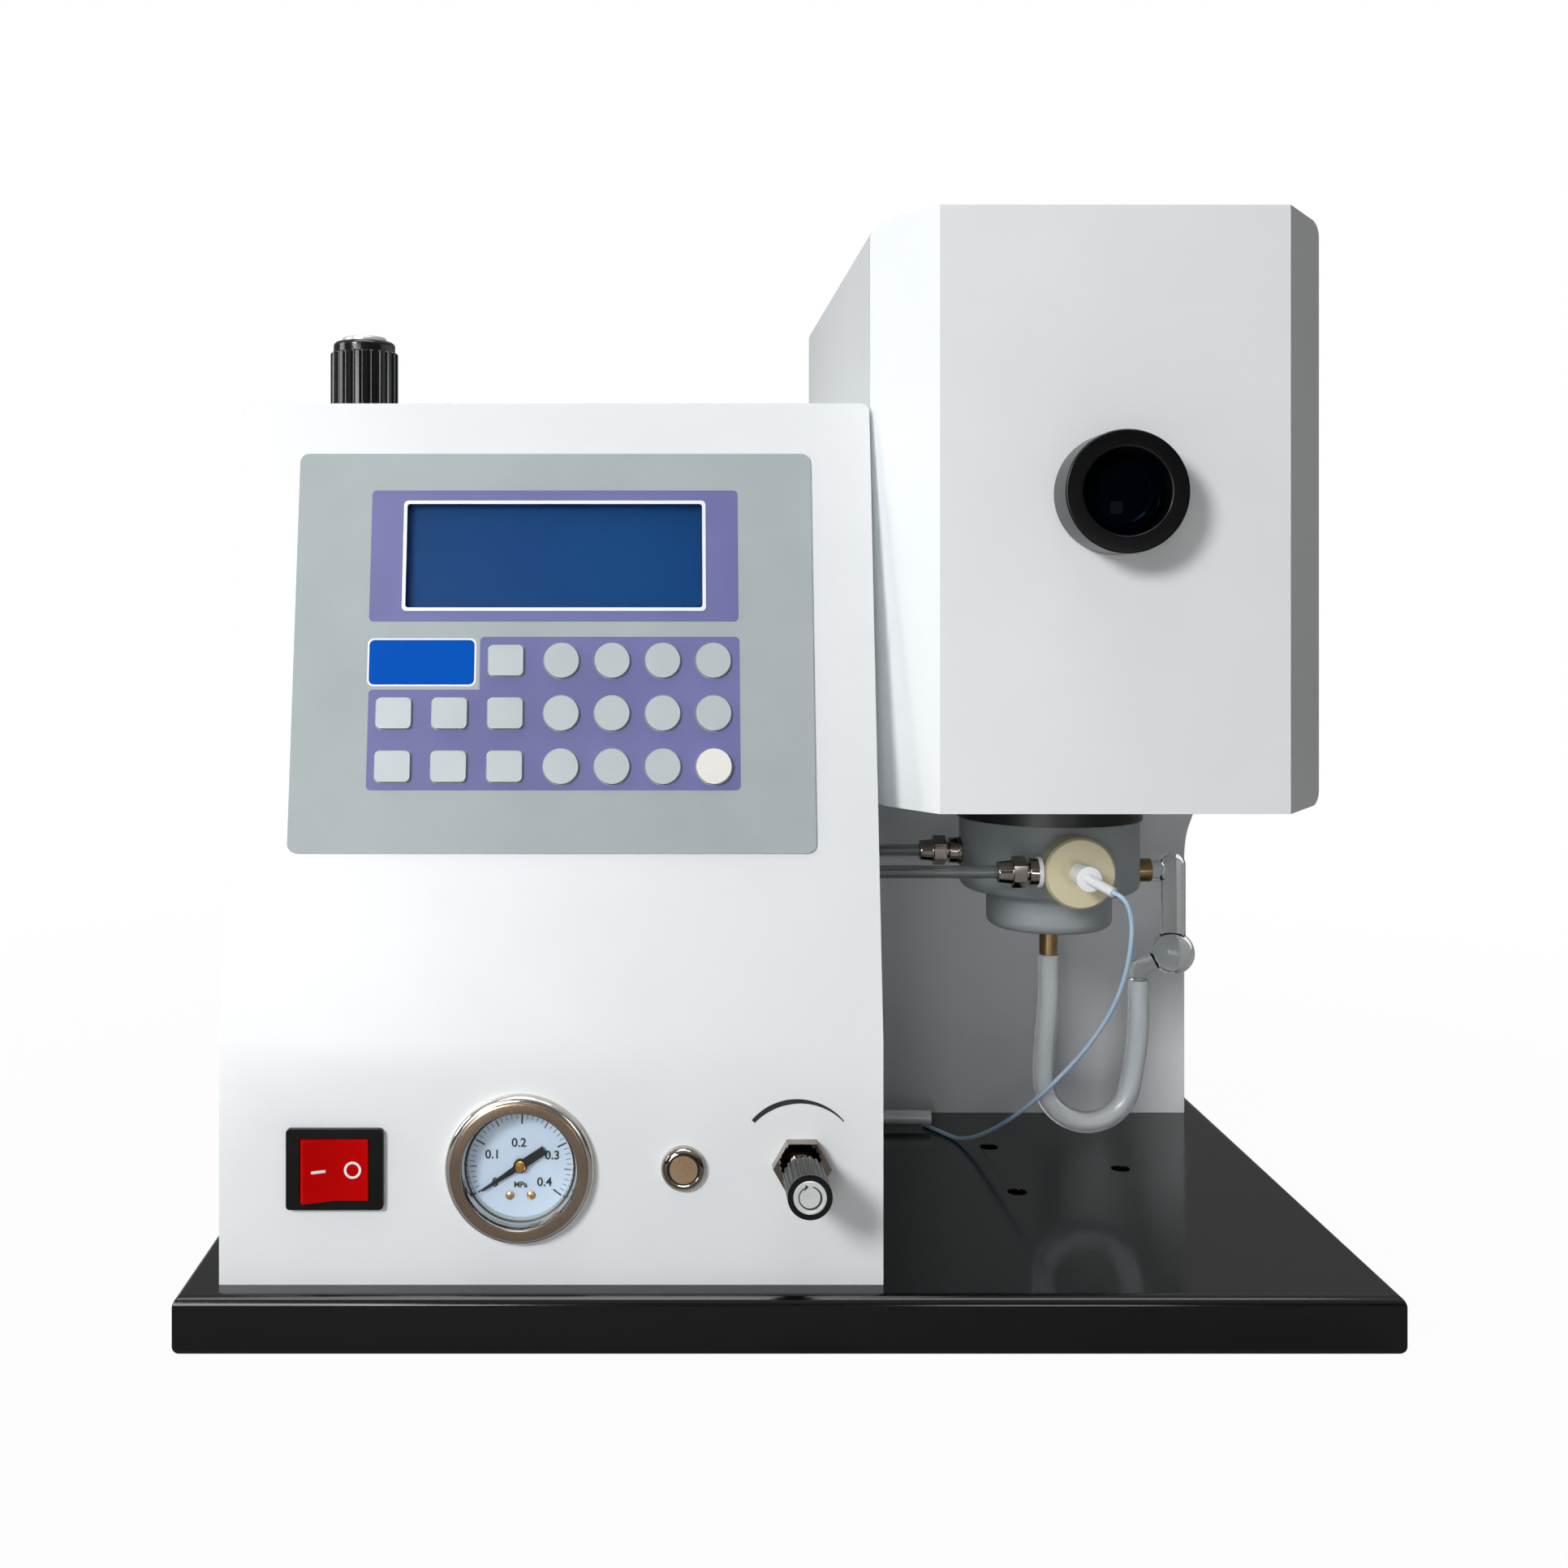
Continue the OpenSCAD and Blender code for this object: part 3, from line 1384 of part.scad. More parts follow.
// Half section of a round pot with a rounded lower edge, from the axis out to r
module pot_section(r, low, high, edge) {
    difference() {
        translate([0, low]) square([r, high - low]);
        translate([r, low]) corner_notch(1, -1, edge);
    }
}

module mixing_chamber() {
    inner_r = chamber_d / 2 - chamber_wall;
    sump_r = sump_d / 2 - chamber_wall;
    color([0.80, 0.84, 0.86, 0.6]) translate([burner_cx, burner_cy, 0]) difference() {
        rotate_extrude($fn = 96) union() {
            pot_section(chamber_d / 2, chamber_z0, chamber_z1, chamber_round);
            pot_section(sump_d / 2, sump_z0, chamber_z0 + chamber_wall, chamber_round);
        }
        rod(2 * inner_r, chamber_z0 + chamber_wall, chamber_z1 + cut);
        rod(2 * sump_r, sump_z0 + chamber_wall, chamber_z1);
        rod(drain_nipple_d + 2 * slip, sump_z0 - cut, chamber_z0);
        translate([0, 0, neb_z]) rotate([90, 0, 0])
            rod(neb_neck_d + 2 * slip, inner_r - chamber_wall, chamber_d / 2 + cut);
        translate([0, 0, overflow_z]) rotate([0, 90, 0])
            rod(overflow_d + 2 * slip, inner_r - chamber_wall, chamber_d / 2 + cut);
        translate([0, 0, fuel_z]) rotate([0, -90, 0])
            rod(fitting_neck_d + 2 * slip, inner_r - chamber_wall, chamber_d / 2 + cut);
    }
}

module nebulizer_body() {
    color([0.72, 0.69, 0.56]) translate([burner_cx, 0, neb_z]) difference() {
        translate([0, neb_y0, 0]) rotate([-90, 0, 0]) {
            cylinder(d1 = neb_d - 2 * neb_edge, d2 = neb_d, h = neb_edge, $fn = 96);
            rod(neb_d, neb_edge, neb_t - neb_edge);
            translate([0, 0, neb_t - neb_edge])
                cylinder(d1 = neb_d, d2 = neb_d - 2 * neb_edge, h = neb_edge, $fn = 96);
            rod(neb_neck_d, neb_t - neb_edge, neb_t + neb_gap + neb_neck_in);
        }
        translate([0, neb_y0, 0]) rotate([-90, 0, 0])
            rod(neb_bore, -cut, neb_t + neb_gap + neb_neck_in + cut);
        translate([air_fit_x - burner_cx, air_hose_y, 0]) rotate([0, -90, 0])
            rod(fitting_neck_d + 2 * slip, -fitting_socket, neb_d);
    }
}

module nebulizer_hub() {
    color([0.95, 0.95, 0.95]) translate([burner_cx, hub_front, neb_z]) rotate([-90, 0, 0])
        difference() {
            union() {
                rod(hub_d, 0, hub_l);
                rod(hub_d + hub_ring, 0, hub_ring_l);
            }
            rod(capillary_bore, -cut, hub_l + cut);
        }
}

// A clear sleeve that leans from the hub to where the capillary comes out, and the sleeve
// low in the cabinet's side that the capillary's free end is parked at
module capillary_sleeves() {
    tip = [capillary_route[0][0], behind(capillary_route[0][1]), capillary_route[0][2]];
    root = [burner_cx, hub_front, neb_z];
    lean = tip - root;
    across = norm([lean[0], lean[2]]);
    color([0.85, 0.90, 0.95, 0.5]) {
        difference() {
            translate(root) rotate([0, atan2(-lean[2], lean[0]), 0])
                rotate([0, 0, -atan2(-lean[1], across)]) rotate([0, 90, 0])
                    rod(tip_sleeve_d, -tip_sleeve_in, norm(lean));
            translate([burner_cx - hub_l, hub_front, neb_z - hub_l]) cube(2 * hub_l);
        }
        translate([cab_x1, sleeve_y, sleeve_z]) rotate([0, 90, 0])
            tube(sleeve_d, sleeve_bore, -hose_inside, sleeve_reach);
    }
}

// One compression fitting along +Z, its washer ending at 0, with a threaded end beyond
module hose_fitting(thread) {
    l1 = fitting_washer_l;
    l2 = l1 + fitting_ring_l;
    l3 = l2 + fitting_neck_l;
    l4 = l3 + fitting_nut_l;
    l5 = l4 + fitting_cone_l;
    difference() {
        union() {
            rod(fitting_washer_d, -l1, 0);
            rod(fitting_ring_d, -l2, -l1);
            rod(fitting_neck_d, -l3, thread);
            hex(fitting_nut_d - fitting_flat, -l4, -l3);
            translate([0, 0, -l5]) cylinder(d1 = fitting_cone_d - fitting_taper,
                                            d2 = fitting_cone_d, h = fitting_cone_l);
        }
        rod(gas_hose_d + 2 * slip, -l5 - cut, -l3);
        rod(fitting_bore, -l5, thread + cut);
    }
}
fitting_l = fitting_washer_l + fitting_ring_l + fitting_neck_l + fitting_nut_l + fitting_cone_l;
air_washer_x = burner_cx - neb_d / 2 - washer_gap;
fuel_washer_x = burner_cx - chamber_d / 2 - washer_gap;

module hose_fittings() {
    color([0.30, 0.27, 0.25]) {
        translate([air_washer_x, air_hose_y, neb_z]) rotate([0, 90, 0])
            hose_fitting(fitting_thread);
        translate([fuel_washer_x, burner_cy, fuel_z]) rotate([0, 90, 0])
            hose_fitting(fitting_thread);
    }
}

module gas_hoses() {
    bore = gas_hose_d - 2 * gas_hose_wall;
    color([0.75, 0.78, 0.80, 0.6]) {
        translate([0, air_hose_y, neb_z]) rotate([0, 90, 0])
            tube(gas_hose_d, bore, cab_x1 - hose_inside, air_washer_x - fitting_l + fitting_cone_l);
        translate([0, burner_cy, fuel_z]) rotate([0, 90, 0])
            tube(gas_hose_d, bore, cab_x1 - hose_inside, fuel_washer_x - fitting_l + fitting_cone_l);
        inner_hose(air_inlet, -gauge_depth - gauge_stem_l);
        inner_hose(fuel_inlet, -valve_depth - valve_block_l - valve_spigot_l);
    }
}

// A hose inside the cabinet, from a rear inlet forward to a control's tail
module inner_hose(spot, tail) {
    hose_end = cab_back - wall - inlet_tail;
    hose_start = cab_inset - tail;
    translate([spot[0], behind(hose_start), spot[1]]) rotate([-90, 0, 0])
        tube(inner_hose_d, inlet_bore_d, 0, hose_end - hose_start);
}

module chamber_nipples() {
    color(brass) translate([burner_cx, burner_cy, 0]) {
        tube(drain_nipple_d, drain_nipple_bore, drain_top_z,
             sump_z0 + chamber_wall + drain_nipple_in);
        translate([chamber_d / 2, 0, overflow_z]) rotate([0, 90, 0]) {
            tube(overflow_d, overflow_bore, -overflow_in, overflow_flange_l / 2);
            tube(overflow_flange_d, overflow_bore, washer_gap, overflow_flange_l);
        }
    }
}

// Arm, upright and bulb of the trap, thinner by inset for its hollow
module trap_form(inset, over) {
    arm_x0 = burner_cx + chamber_d / 2 + overflow_flange_l;
    up_r = trap_d / 2 - inset;
    dome_z = overflow_z + trap_arm_d / 4;
    translate([arm_x0 - over, 0, overflow_z]) rotate([0, 90, 0])
        cylinder(d = trap_arm_d - 2 * inset, h = trap_x - arm_x0 + over);
    translate([trap_x, 0, 0]) rotate_extrude() intersection() {
        translate([0, bulb_z - bulb_d]) square([bulb_d, dome_z - bulb_z + 2 * bulb_d]);
        union() {
            translate([0, bulb_z]) circle(d = bulb_d - 2 * inset);
            translate([0, bulb_z]) square([up_r, dome_z - bulb_z]);
            translate([0, dome_z]) circle(r = up_r);
        }
    }
}

// The leaning outlet below the bulb, with the straight end that the drain hose meets
module trap_outlet() {
    slope = [trap_x - trap_out_x, bulb_z - trap_out_z];
    lean = atan2(slope[0], slope[1]);
    bulb_reach = bulb_d / 2 - trap_wall;
    translate([trap_out_x, 0, trap_out_z]) {
        rotate([0, lean, 0]) cylinder(d = trap_out_d, h = norm(slope) - bulb_reach);
        sphere(d = trap_out_d + trap_bead);
    }
    translate([trap_out_x, 0, drain_end_z])
        cylinder(d = trap_out_d, h = trap_out_z - drain_end_z);
}

module overflow_trap() {
    color([0.85, 0.90, 0.92, 0.4]) translate([0, burner_cy, 0]) {
        difference() {
            trap_form(0, 0);
            trap_form(trap_wall, cut);
        }
        trap_outlet();
    }
}

// ---- Hanging tubes ----

module drain_hose() {
    color([0.80, 0.83, 0.85, 0.7])
        swept([for (p = drain_route) [p[0], burner_cy, p[1]]], drain_d, drain_sides);
}

module sample_capillary() {
    color([0.60, 0.78, 0.94])
        swept(smooth_route([for (p = capillary_route) [p[0], behind(p[1]), p[2]]],
                           steps_per_point), capillary_d, capillary_sides);
}

// ---- Which pieces are drawn ----

base_tray();
base_feet();
housing_screws();
cabinet_shell();
rear_panels();
keypad_overlay();
display_window();
display_module();
circuit_boards();
switch_housing();
power_rocker();
gauge_case();
gauge_dial();
gauge_glass();
gauge_pointer();
ignition_bush();
ignition_button();
valve_body();
valve_knob();
regulator_body();
regulator_knob();
power_inlet();
gas_inlets();
head_shell();
column_shell();
eyepiece_tube();
eyepiece_lens();
burner_ring();
mixing_chamber();
burner_head();
flame_chimney();
detector_block();
nebulizer_body();
nebulizer_hub();
capillary_sleeves();
sample_capillary();
hose_fittings();
gas_hoses();
chamber_nipples();
drain_hose();
overflow_trap();
for (i = [0:round_count - 1])
    round_key(i);
for (i = [0:square_count - 1])
    square_key(i);
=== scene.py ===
"""Looks of the flame photometer: finishes, prints, dial, tubes, glass, light and camera.

Lengths are in metres in the part's own frame: +X right, +Y back, +Z up, with the origin
on the bench under the middle of the machine. Sizes written with MM are in millimetres,
and so are those that in_metres() turns into metres.
"""

import math

import bmesh
import bpy
from mathutils import Matrix, Vector


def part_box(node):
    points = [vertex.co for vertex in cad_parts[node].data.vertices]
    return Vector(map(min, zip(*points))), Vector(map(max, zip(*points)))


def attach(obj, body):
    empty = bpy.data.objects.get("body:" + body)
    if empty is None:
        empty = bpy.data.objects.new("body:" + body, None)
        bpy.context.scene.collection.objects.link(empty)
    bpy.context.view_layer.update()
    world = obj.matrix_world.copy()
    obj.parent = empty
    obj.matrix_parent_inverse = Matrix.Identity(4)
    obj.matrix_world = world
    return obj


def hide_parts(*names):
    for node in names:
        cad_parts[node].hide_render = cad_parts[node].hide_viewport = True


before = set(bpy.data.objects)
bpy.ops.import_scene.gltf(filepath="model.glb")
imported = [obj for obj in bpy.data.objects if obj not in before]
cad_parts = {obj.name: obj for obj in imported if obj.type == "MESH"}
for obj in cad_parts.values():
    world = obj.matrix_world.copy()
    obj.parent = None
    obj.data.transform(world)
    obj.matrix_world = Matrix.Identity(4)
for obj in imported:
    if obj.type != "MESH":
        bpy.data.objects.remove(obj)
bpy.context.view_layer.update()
MM = 0.001

# ---- Places taken from the frame ----

X, Y, Z = 0, 1, 2


def middle(name, axis):
    """The middle of a node's box along an axis."""
    low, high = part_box(name)
    return (low[axis] + high[axis]) / 2


tray_low, tray_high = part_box("base_tray")
valve_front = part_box("valve_knob")[0].y
regulator_spot = (middle("regulator_knob", X), middle("regulator_knob", Y),
                  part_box("regulator_knob")[0].z)
front_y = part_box("cabinet_shell")[0].y
control_z = middle("gauge_case", Z)
gauge_x = middle("gauge_case", X)
ignition_x = middle("ignition_bush", X)
valve_x, valve_z = middle("valve_knob", X), middle("valve_knob", Z)
switch_x = middle("switch_housing", X)
burner_y = middle("mixing_chamber", Y)

PANEL_TILT = math.radians(9.6)  # lean of the sloped face
FOLD_UP = 76.5 * MM  # from the tray's top up to the fold of the front
fold_z = tray_high.z + FOLD_UP


def on_front(x, z):
    """Places things on the lower front: x right, y up, z out of the panel."""
    return Matrix(((1, 0, 0, x), (0, 0, -1, front_y), (0, 1, 0, z), (0, 0, 0, 1)))


def on_slope():
    """Places things on the sloped face: x right, y up the slope from the fold, z out."""
    lean, rise = math.sin(PANEL_TILT), math.cos(PANEL_TILT)
    return Matrix(((1, 0, 0, 0), (0, lean, -rise, front_y), (0, rise, lean, fold_z),
                   (0, 0, 0, 1)))


def slope_up(z):
    """Distance up the slope from the fold, for a height above the bench."""
    return (z - fold_z) / math.cos(PANEL_TILT)


# ---- Materials ----


def linear(colour):
    """A colour given as 0 to 255 screen values, as linear numbers for a shader."""

    def one(v):
        v /= 255
        return v / 12.92 if v <= 0.04045 else ((v + 0.055) / 1.055) ** 2.4

    return tuple(one(v) for v in colour) + (1.0,)


def node(tree, kind, **values):
    """A new shader node with its settings."""
    made = tree.nodes.new(kind)
    for name, value in values.items():
        setattr(made, name, value)
    return made


def noise(tree, place, scale, detail=3.0, stretch=None):
    """Noise in the object's own coordinates; stretch scales the axes apart."""
    made = node(tree, "ShaderNodeTexNoise")
    made.inputs["Scale"].default_value = scale
    made.inputs["Detail"].default_value = detail
    if stretch:
        spread = node(tree, "ShaderNodeMapping")
        spread.inputs["Scale"].default_value = stretch
        tree.links.new(place, spread.inputs["Vector"])
        place = spread.outputs["Vector"]
    tree.links.new(place, made.inputs["Vector"])
    return made.outputs["Fac"]


def spread_value(tree, value, low, high, start=0.3, end=0.7):
    """Maps a value from start..end, where most noise lies, to low..high."""
    made = node(tree, "ShaderNodeMapRange")
    made.inputs["From Min"].default_value = start
    made.inputs["From Max"].default_value = end
    made.inputs["To Min"].default_value = low
    made.inputs["To Max"].default_value = high
    tree.links.new(value, made.inputs["Value"])
    return made.outputs["Result"]


GRAIN_DETAIL = 2.0


def finish(name, colour, other, rough, mottle=60.0, grain=0.0, grain_size=0.5 * MM,
           depth=0.02 * MM, stretch=None, metal=0.0, **sockets):
    """A surface of two close colours, with uneven gloss and a fine grain.

    rough is the lowest and highest roughness, mottle the scale of the colour patches, and
    grain, grain_size and depth the strength, size and height of the grain.
    """
    made = bpy.data.materials.new(name)
    made.use_nodes = True
    tree = made.node_tree
    shader = tree.nodes["Principled BSDF"]
    place = node(tree, "ShaderNodeTexCoord").outputs["Object"]
    blend = node(tree, "ShaderNodeMix", data_type="RGBA")
    patches = spread_value(tree, noise(tree, place, mottle), 0.0, 1.0)
    tree.links.new(patches, blend.inputs["Factor"])
    blend.inputs["A"].default_value = linear(colour)
    blend.inputs["B"].default_value = linear(other)
    tree.links.new(blend.outputs["Result"], shader.inputs["Base Color"])
    fine = noise(tree, place, 1.0 / grain_size, GRAIN_DETAIL, stretch)
    tree.links.new(spread_value(tree, fine, rough[0], rough[1]), shader.inputs["Roughness"])
    if grain:
        bump = node(tree, "ShaderNodeBump")
        bump.inputs["Strength"].default_value = grain
        bump.inputs["Distance"].default_value = depth
        tree.links.new(fine, bump.inputs["Height"])
        tree.links.new(bump.outputs["Normal"], shader.inputs["Normal"])
    shader.inputs["Metallic"].default_value = metal
    for socket, value in sockets.items():
        shader.inputs[socket.replace("_", " ")].default_value = value
    return made


white_enamel = finish("white_enamel", (238, 241, 243), (234, 238, 240), (0.30, 0.36), 25,
                      0.25, 0.9 * MM, 0.01 * MM, Specular_IOR_Level=0.4)
black_enamel = finish("black_enamel", (4, 5, 7), (7, 8, 10), (0.1, 0.16), 30, 0.2,
                      0.5 * MM, 0.004 * MM, Specular_IOR_Level=0.38)
# black rubber of the feet, also used as painted shade on the sheet under the tray
foot_rubber = finish("foot_rubber", (24, 24, 24), (32, 32, 32), (0.7, 0.85), 90, 0.4)
screw_steel = finish("screw_steel", (196, 197, 200), (176, 178, 182), (0.22, 0.34), 300,
                     0.2, 0.2 * MM, metal=1.0)
overlay_film = finish("overlay_film", (174, 184, 186), (166, 176, 178), (0.46, 0.54), 30,
                      0.3, 0.35 * MM, 0.01 * MM, Specular_IOR_Level=0.2)
purple_ink = finish("purple_ink", (116, 120, 172), (106, 108, 160), (0.42, 0.5), 18,
                    0.25, 0.35 * MM, 0.01 * MM, Specular_IOR_Level=0.2)
white_ink = finish("white_ink", (244, 245, 247), (238, 240, 243), (0.4, 0.5), 60)
blue_ink = finish("blue_ink", (0, 86, 190), (0, 80, 182), (0.42, 0.5), 20, 0.2, 0.35 * MM,
                  0.01 * MM, Specular_IOR_Level=0.02)
black_ink = finish("black_ink", (14, 14, 16), (22, 22, 24), (0.4, 0.5), 200)
key_grey = finish("key_grey", (190, 198, 202), (183, 191, 195), (0.32, 0.42), 40, 0.15,
                  0.4 * MM, 0.01 * MM)
key_white = finish("key_white", (240, 239, 233), (234, 233, 226), (0.3, 0.4), 40, 0.1)
window_acrylic = finish("window_acrylic", (245, 248, 252), (240, 244, 250), (0.03, 0.06), 20,
                        Transmission_Weight=1.0, IOR=1.15, Alpha=0.3)
display_glass = finish("display_glass", (4, 56, 106), (3, 50, 98), (0.3, 0.38), 12,
                       Specular_IOR_Level=0.1)
board_laminate = finish("board_laminate", (30, 96, 56), (24, 82, 48), (0.35, 0.5), 150, 0.2)
black_moulding = finish("black_moulding", (7, 8, 9), (11, 12, 13), (0.28, 0.38), 120,
                        0.25, 0.25 * MM, 0.01 * MM, Specular_IOR_Level=0.15)
rocker_red = finish("rocker_red", (200, 3, 3), (188, 2, 2), (0.36, 0.44), 50, 0.1,
                    Specular_IOR_Level=0.03)
chrome_plate = finish("chrome_plate", (206, 203, 198), (192, 188, 182), (0.06, 0.12), 80,
                      metal=1.0)
bronze_plate = finish("bronze_plate", (150, 132, 116), (126, 108, 94), (0.2, 0.3), 30,
                      0.15, 0.15 * MM, 0.004 * MM, metal=1.0)
dial_enamel = finish("dial_enamel", (194, 212, 229), (188, 207, 226), (0.4, 0.5), 60)
gauge_crystal = finish("gauge_crystal", (250, 252, 255), (246, 250, 254), (0.0, 0.02), 20,
                       Transmission_Weight=1.0, IOR=1.1, Alpha=0.12)
pointer_black = finish("pointer_black", (12, 12, 13), (18, 18, 19), (0.3, 0.4), 200)
button_metal = finish("button_metal", (206, 174, 140), (190, 158, 124), (0.2, 0.3), 120,
                      0.1, 0.15 * MM, 0.003 * MM, metal=1.0)
knob_black = finish("knob_black", (13, 14, 15), (18, 19, 21), (0.12, 0.2), 100, 0.1,
                    0.3 * MM, 0.01 * MM, Specular_IOR_Level=0.5)
knurl_black = finish("knurl_black", (13, 14, 16), (9, 10, 12), (0.22, 0.32), 150, 0.2,
                     Specular_IOR_Level=0.25)
nut_plate = finish("nut_plate", (150, 142, 134), (112, 102, 92), (0.05, 0.1), 60, metal=1.0)
washer_white = finish("washer_white", (244, 245, 246), (238, 240, 242), (0.3, 0.4), 80)
coating_blue = finish("coating_blue", (1, 5, 14), (0, 3, 9), (0.08, 0.14), 80,
                      Specular_IOR_Level=1.0, Specular_Tint=(0.06, 0.42, 1.0, 1.0))
brass_turned = finish("brass_turned", (168, 142, 100), (148, 122, 84), (0.2, 0.32), 150, 0.2,
                      0.2 * MM, 0.006 * MM, (1, 1, 12), metal=1.0)
brass_bright = finish("brass_bright", (206, 164, 92), (184, 142, 74), (0.16, 0.26), 200, 0.1,
                      0.2 * MM, 0.004 * MM, metal=1.0)
eyepiece_black = finish("eyepiece_black", (5, 6, 8), (8, 9, 11), (0.2, 0.28), 60, 0.15,
                        0.4 * MM, 0.01 * MM, Specular_IOR_Level=0.2)
ring_black = finish("ring_black", (16, 17, 19), (22, 23, 25), (0.35, 0.48), 80, 0.2)
frosted = finish("frosted_plastic", (204, 210, 212), (192, 200, 204), (0.4, 0.52), 40, 0.15,
                 0.6 * MM, 0.02 * MM, Transmission_Weight=0.45, IOR=1.3)
chimney_steel = finish("chimney_steel", (196, 197, 199), (178, 180, 183), (0.24, 0.38), 60,
                       0.25, 0.3 * MM, 0.008 * MM, (1, 1, 0.05), metal=1.0)
detector_black = finish("detector_black", (26, 26, 28), (34, 34, 36), (0.45, 0.6), 90, 0.3)
anodised = finish("nebulizer_anodised", (216, 208, 174), (206, 198, 164), (0.3, 0.4), 50,
                  0.2, 0.2 * MM, 0.004 * MM, metal=0.25)
hub_white = finish("hub_white", (250, 250, 251), (245, 246, 248), (0.2, 0.3), 80, 0.1,
                   Subsurface_Weight=0.1)
sleeve_clear = finish("sleeve_clear", (252, 253, 254), (248, 250, 252), (0.16, 0.26), 80, 0.1)
capillary_blue = finish("capillary_blue", (202, 232, 255), (190, 224, 254), (0.2, 0.3), 90)
fitting_nickel = finish("fitting_nickel", (176, 166, 158), (140, 131, 124), (0.04, 0.08),
                        160, 0.1, 0.2 * MM, 0.004 * MM, metal=1.0)
hose_smoke = finish("hose_smoke", (206, 210, 210), (194, 199, 199), (0.06, 0.12), 60, 0.05,
                    Transmission_Weight=0.9, IOR=1.38)
drain_silicone = finish("drain_silicone", (242, 245, 247), (234, 238, 241), (0.1, 0.18), 60,
                        Transmission_Weight=0.72, IOR=1.3)
trap_glass = finish("trap_glass", (250, 252, 252), (246, 249, 249), (0.0, 0.02), 40,
                    Transmission_Weight=1.0, IOR=1.2)
lens_glass = finish("lens_glass", (1, 6, 12), (0, 3, 8), (0.02, 0.05), 40,
                    Specular_IOR_Level=0.01)
nickel_disc = finish("nickel_disc", (226, 227, 228), (216, 217, 219), (0.26, 0.34), 200, 0.2,
                     0.15 * MM, 0.003 * MM, metal=0.35)

# ---- Shared shape tools ----

SHARP_FROM, BEVEL_FROM = math.radians(32), math.radians(35)
WELD_WITHIN = 0.001 * MM
FACE_WEIGHT = 90


def smoothing_group():
    """Geometry nodes that shade smooth, but keep edges past SHARP_FROM sharp."""
    made = bpy.data.node_groups.new("smooth_by_angle", "GeometryNodeTree")
    for way in ("INPUT", "OUTPUT"):
        made.interface.new_socket("Geometry", in_out=way, socket_type="NodeSocketGeometry")
    start = made.nodes.new("NodeGroupInput")
    end = made.nodes.new("NodeGroupOutput")
    angle = made.nodes.new("GeometryNodeInputMeshEdgeAngle")
    test = made.nodes.new("FunctionNodeCompare")
    test.data_type, test.operation = "FLOAT", "GREATER_THAN"
    test.inputs[1].default_value = SHARP_FROM
    faces = made.nodes.new("GeometryNodeSetShadeSmooth")
    faces.domain = "FACE"
    faces.inputs["Shade Smooth"].default_value = True
    edges = made.nodes.new("GeometryNodeSetShadeSmooth")
    edges.domain = "EDGE"
    edges.inputs["Shade Smooth"].default_value = False
    made.links.new(start.outputs[0], faces.inputs["Geometry"])
    made.links.new(angle.outputs["Unsigned Angle"], test.inputs[0])
    made.links.new(test.outputs["Result"], edges.inputs["Selection"])
    made.links.new(faces.outputs["Geometry"], edges.inputs["Geometry"])
    made.links.new(edges.outputs["Geometry"], end.inputs[0])
    return made


smooth_by_angle = smoothing_group()


def soften(piece, width=0.0, segments=2):
    """Rounds a piece's edges by width, where it has one, and shades it smooth."""
    if width:
        weld = piece.modifiers.new("weld", "WELD")
        weld.merge_threshold = WELD_WITHIN
        bevel = piece.modifiers.new("bevel", "BEVEL")
        bevel.width, bevel.segments = width, segments
        bevel.limit_method, bevel.angle_limit = "ANGLE", BEVEL_FROM
        bevel.use_clamp_overlap = True
    piece.modifiers.new("shade", "NODES").node_group = smooth_by_angle
    level = piece.modifiers.new("level", "WEIGHTED_NORMAL")
    level.mode, level.weight, level.keep_sharp = "FACE_AREA", FACE_WEIGHT, True


def add_object(name, data):
    """Puts a mesh, a lamp or a camera in the scene."""
    made = bpy.data.objects.new(name, data)
    bpy.context.scene.collection.objects.link(made)
    return made


def new_mesh(name, points, faces, place=None, outward=False):
    """A mesh moved to its place; outward turns all its faces out."""
    mesh = bpy.data.meshes.new(name)
    mesh.from_pydata(points, [], faces)
    if outward:
        work = bmesh.new()
        work.from_mesh(mesh)
        bmesh.ops.recalc_face_normals(work, faces=work.faces)
        work.to_mesh(mesh)
        work.free()
    if place:
        mesh.transform(place)
    return mesh


def drawn_mesh(name, curve, place):
    """The mesh of a curve or a text, which is then removed."""
    drawn = bpy.data.objects.new(name, curve)
    mesh = bpy.data.meshes.new_from_object(drawn)
    bpy.data.objects.remove(drawn)
    bpy.data.curves.remove(curve)
    mesh.transform(place)
    return mesh


def add_piece(name, mesh, material, slot, body="root", width=0.0):
    """A visible piece that rides on a body, with its edges rounded by width."""
    piece = add_object(name, mesh)
    mesh.materials.clear()
    mesh.materials.append(material)
    soften(piece, width)
    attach(piece, body)
    return piece


def arc(cx, cy, r, start, end, steps=8):
    """Points on an arc; the angles are in degrees."""
    turns = [math.radians(start + (end - start) * i / steps) for i in range(steps + 1)]
    return [(cx + r * math.cos(t), cy + r * math.sin(t)) for t in turns]


def rounded(x0, y0, x1, y1, r):
    """Outline of a rectangle with round corners."""
    return (arc(x1 - r, y1 - r, r, 0, 90) + arc(x0 + r, y1 - r, r, 90, 180)
            + arc(x0 + r, y0 + r, r, 180, 270) + arc(x1 - r, y0 + r, r, 270, 360))


def circle(r, cx=0.0, cy=0.0, steps=64):
    """Outline of a circle."""
    return arc(cx, cy, r, 0, 360 - 360 / steps, steps - 1)


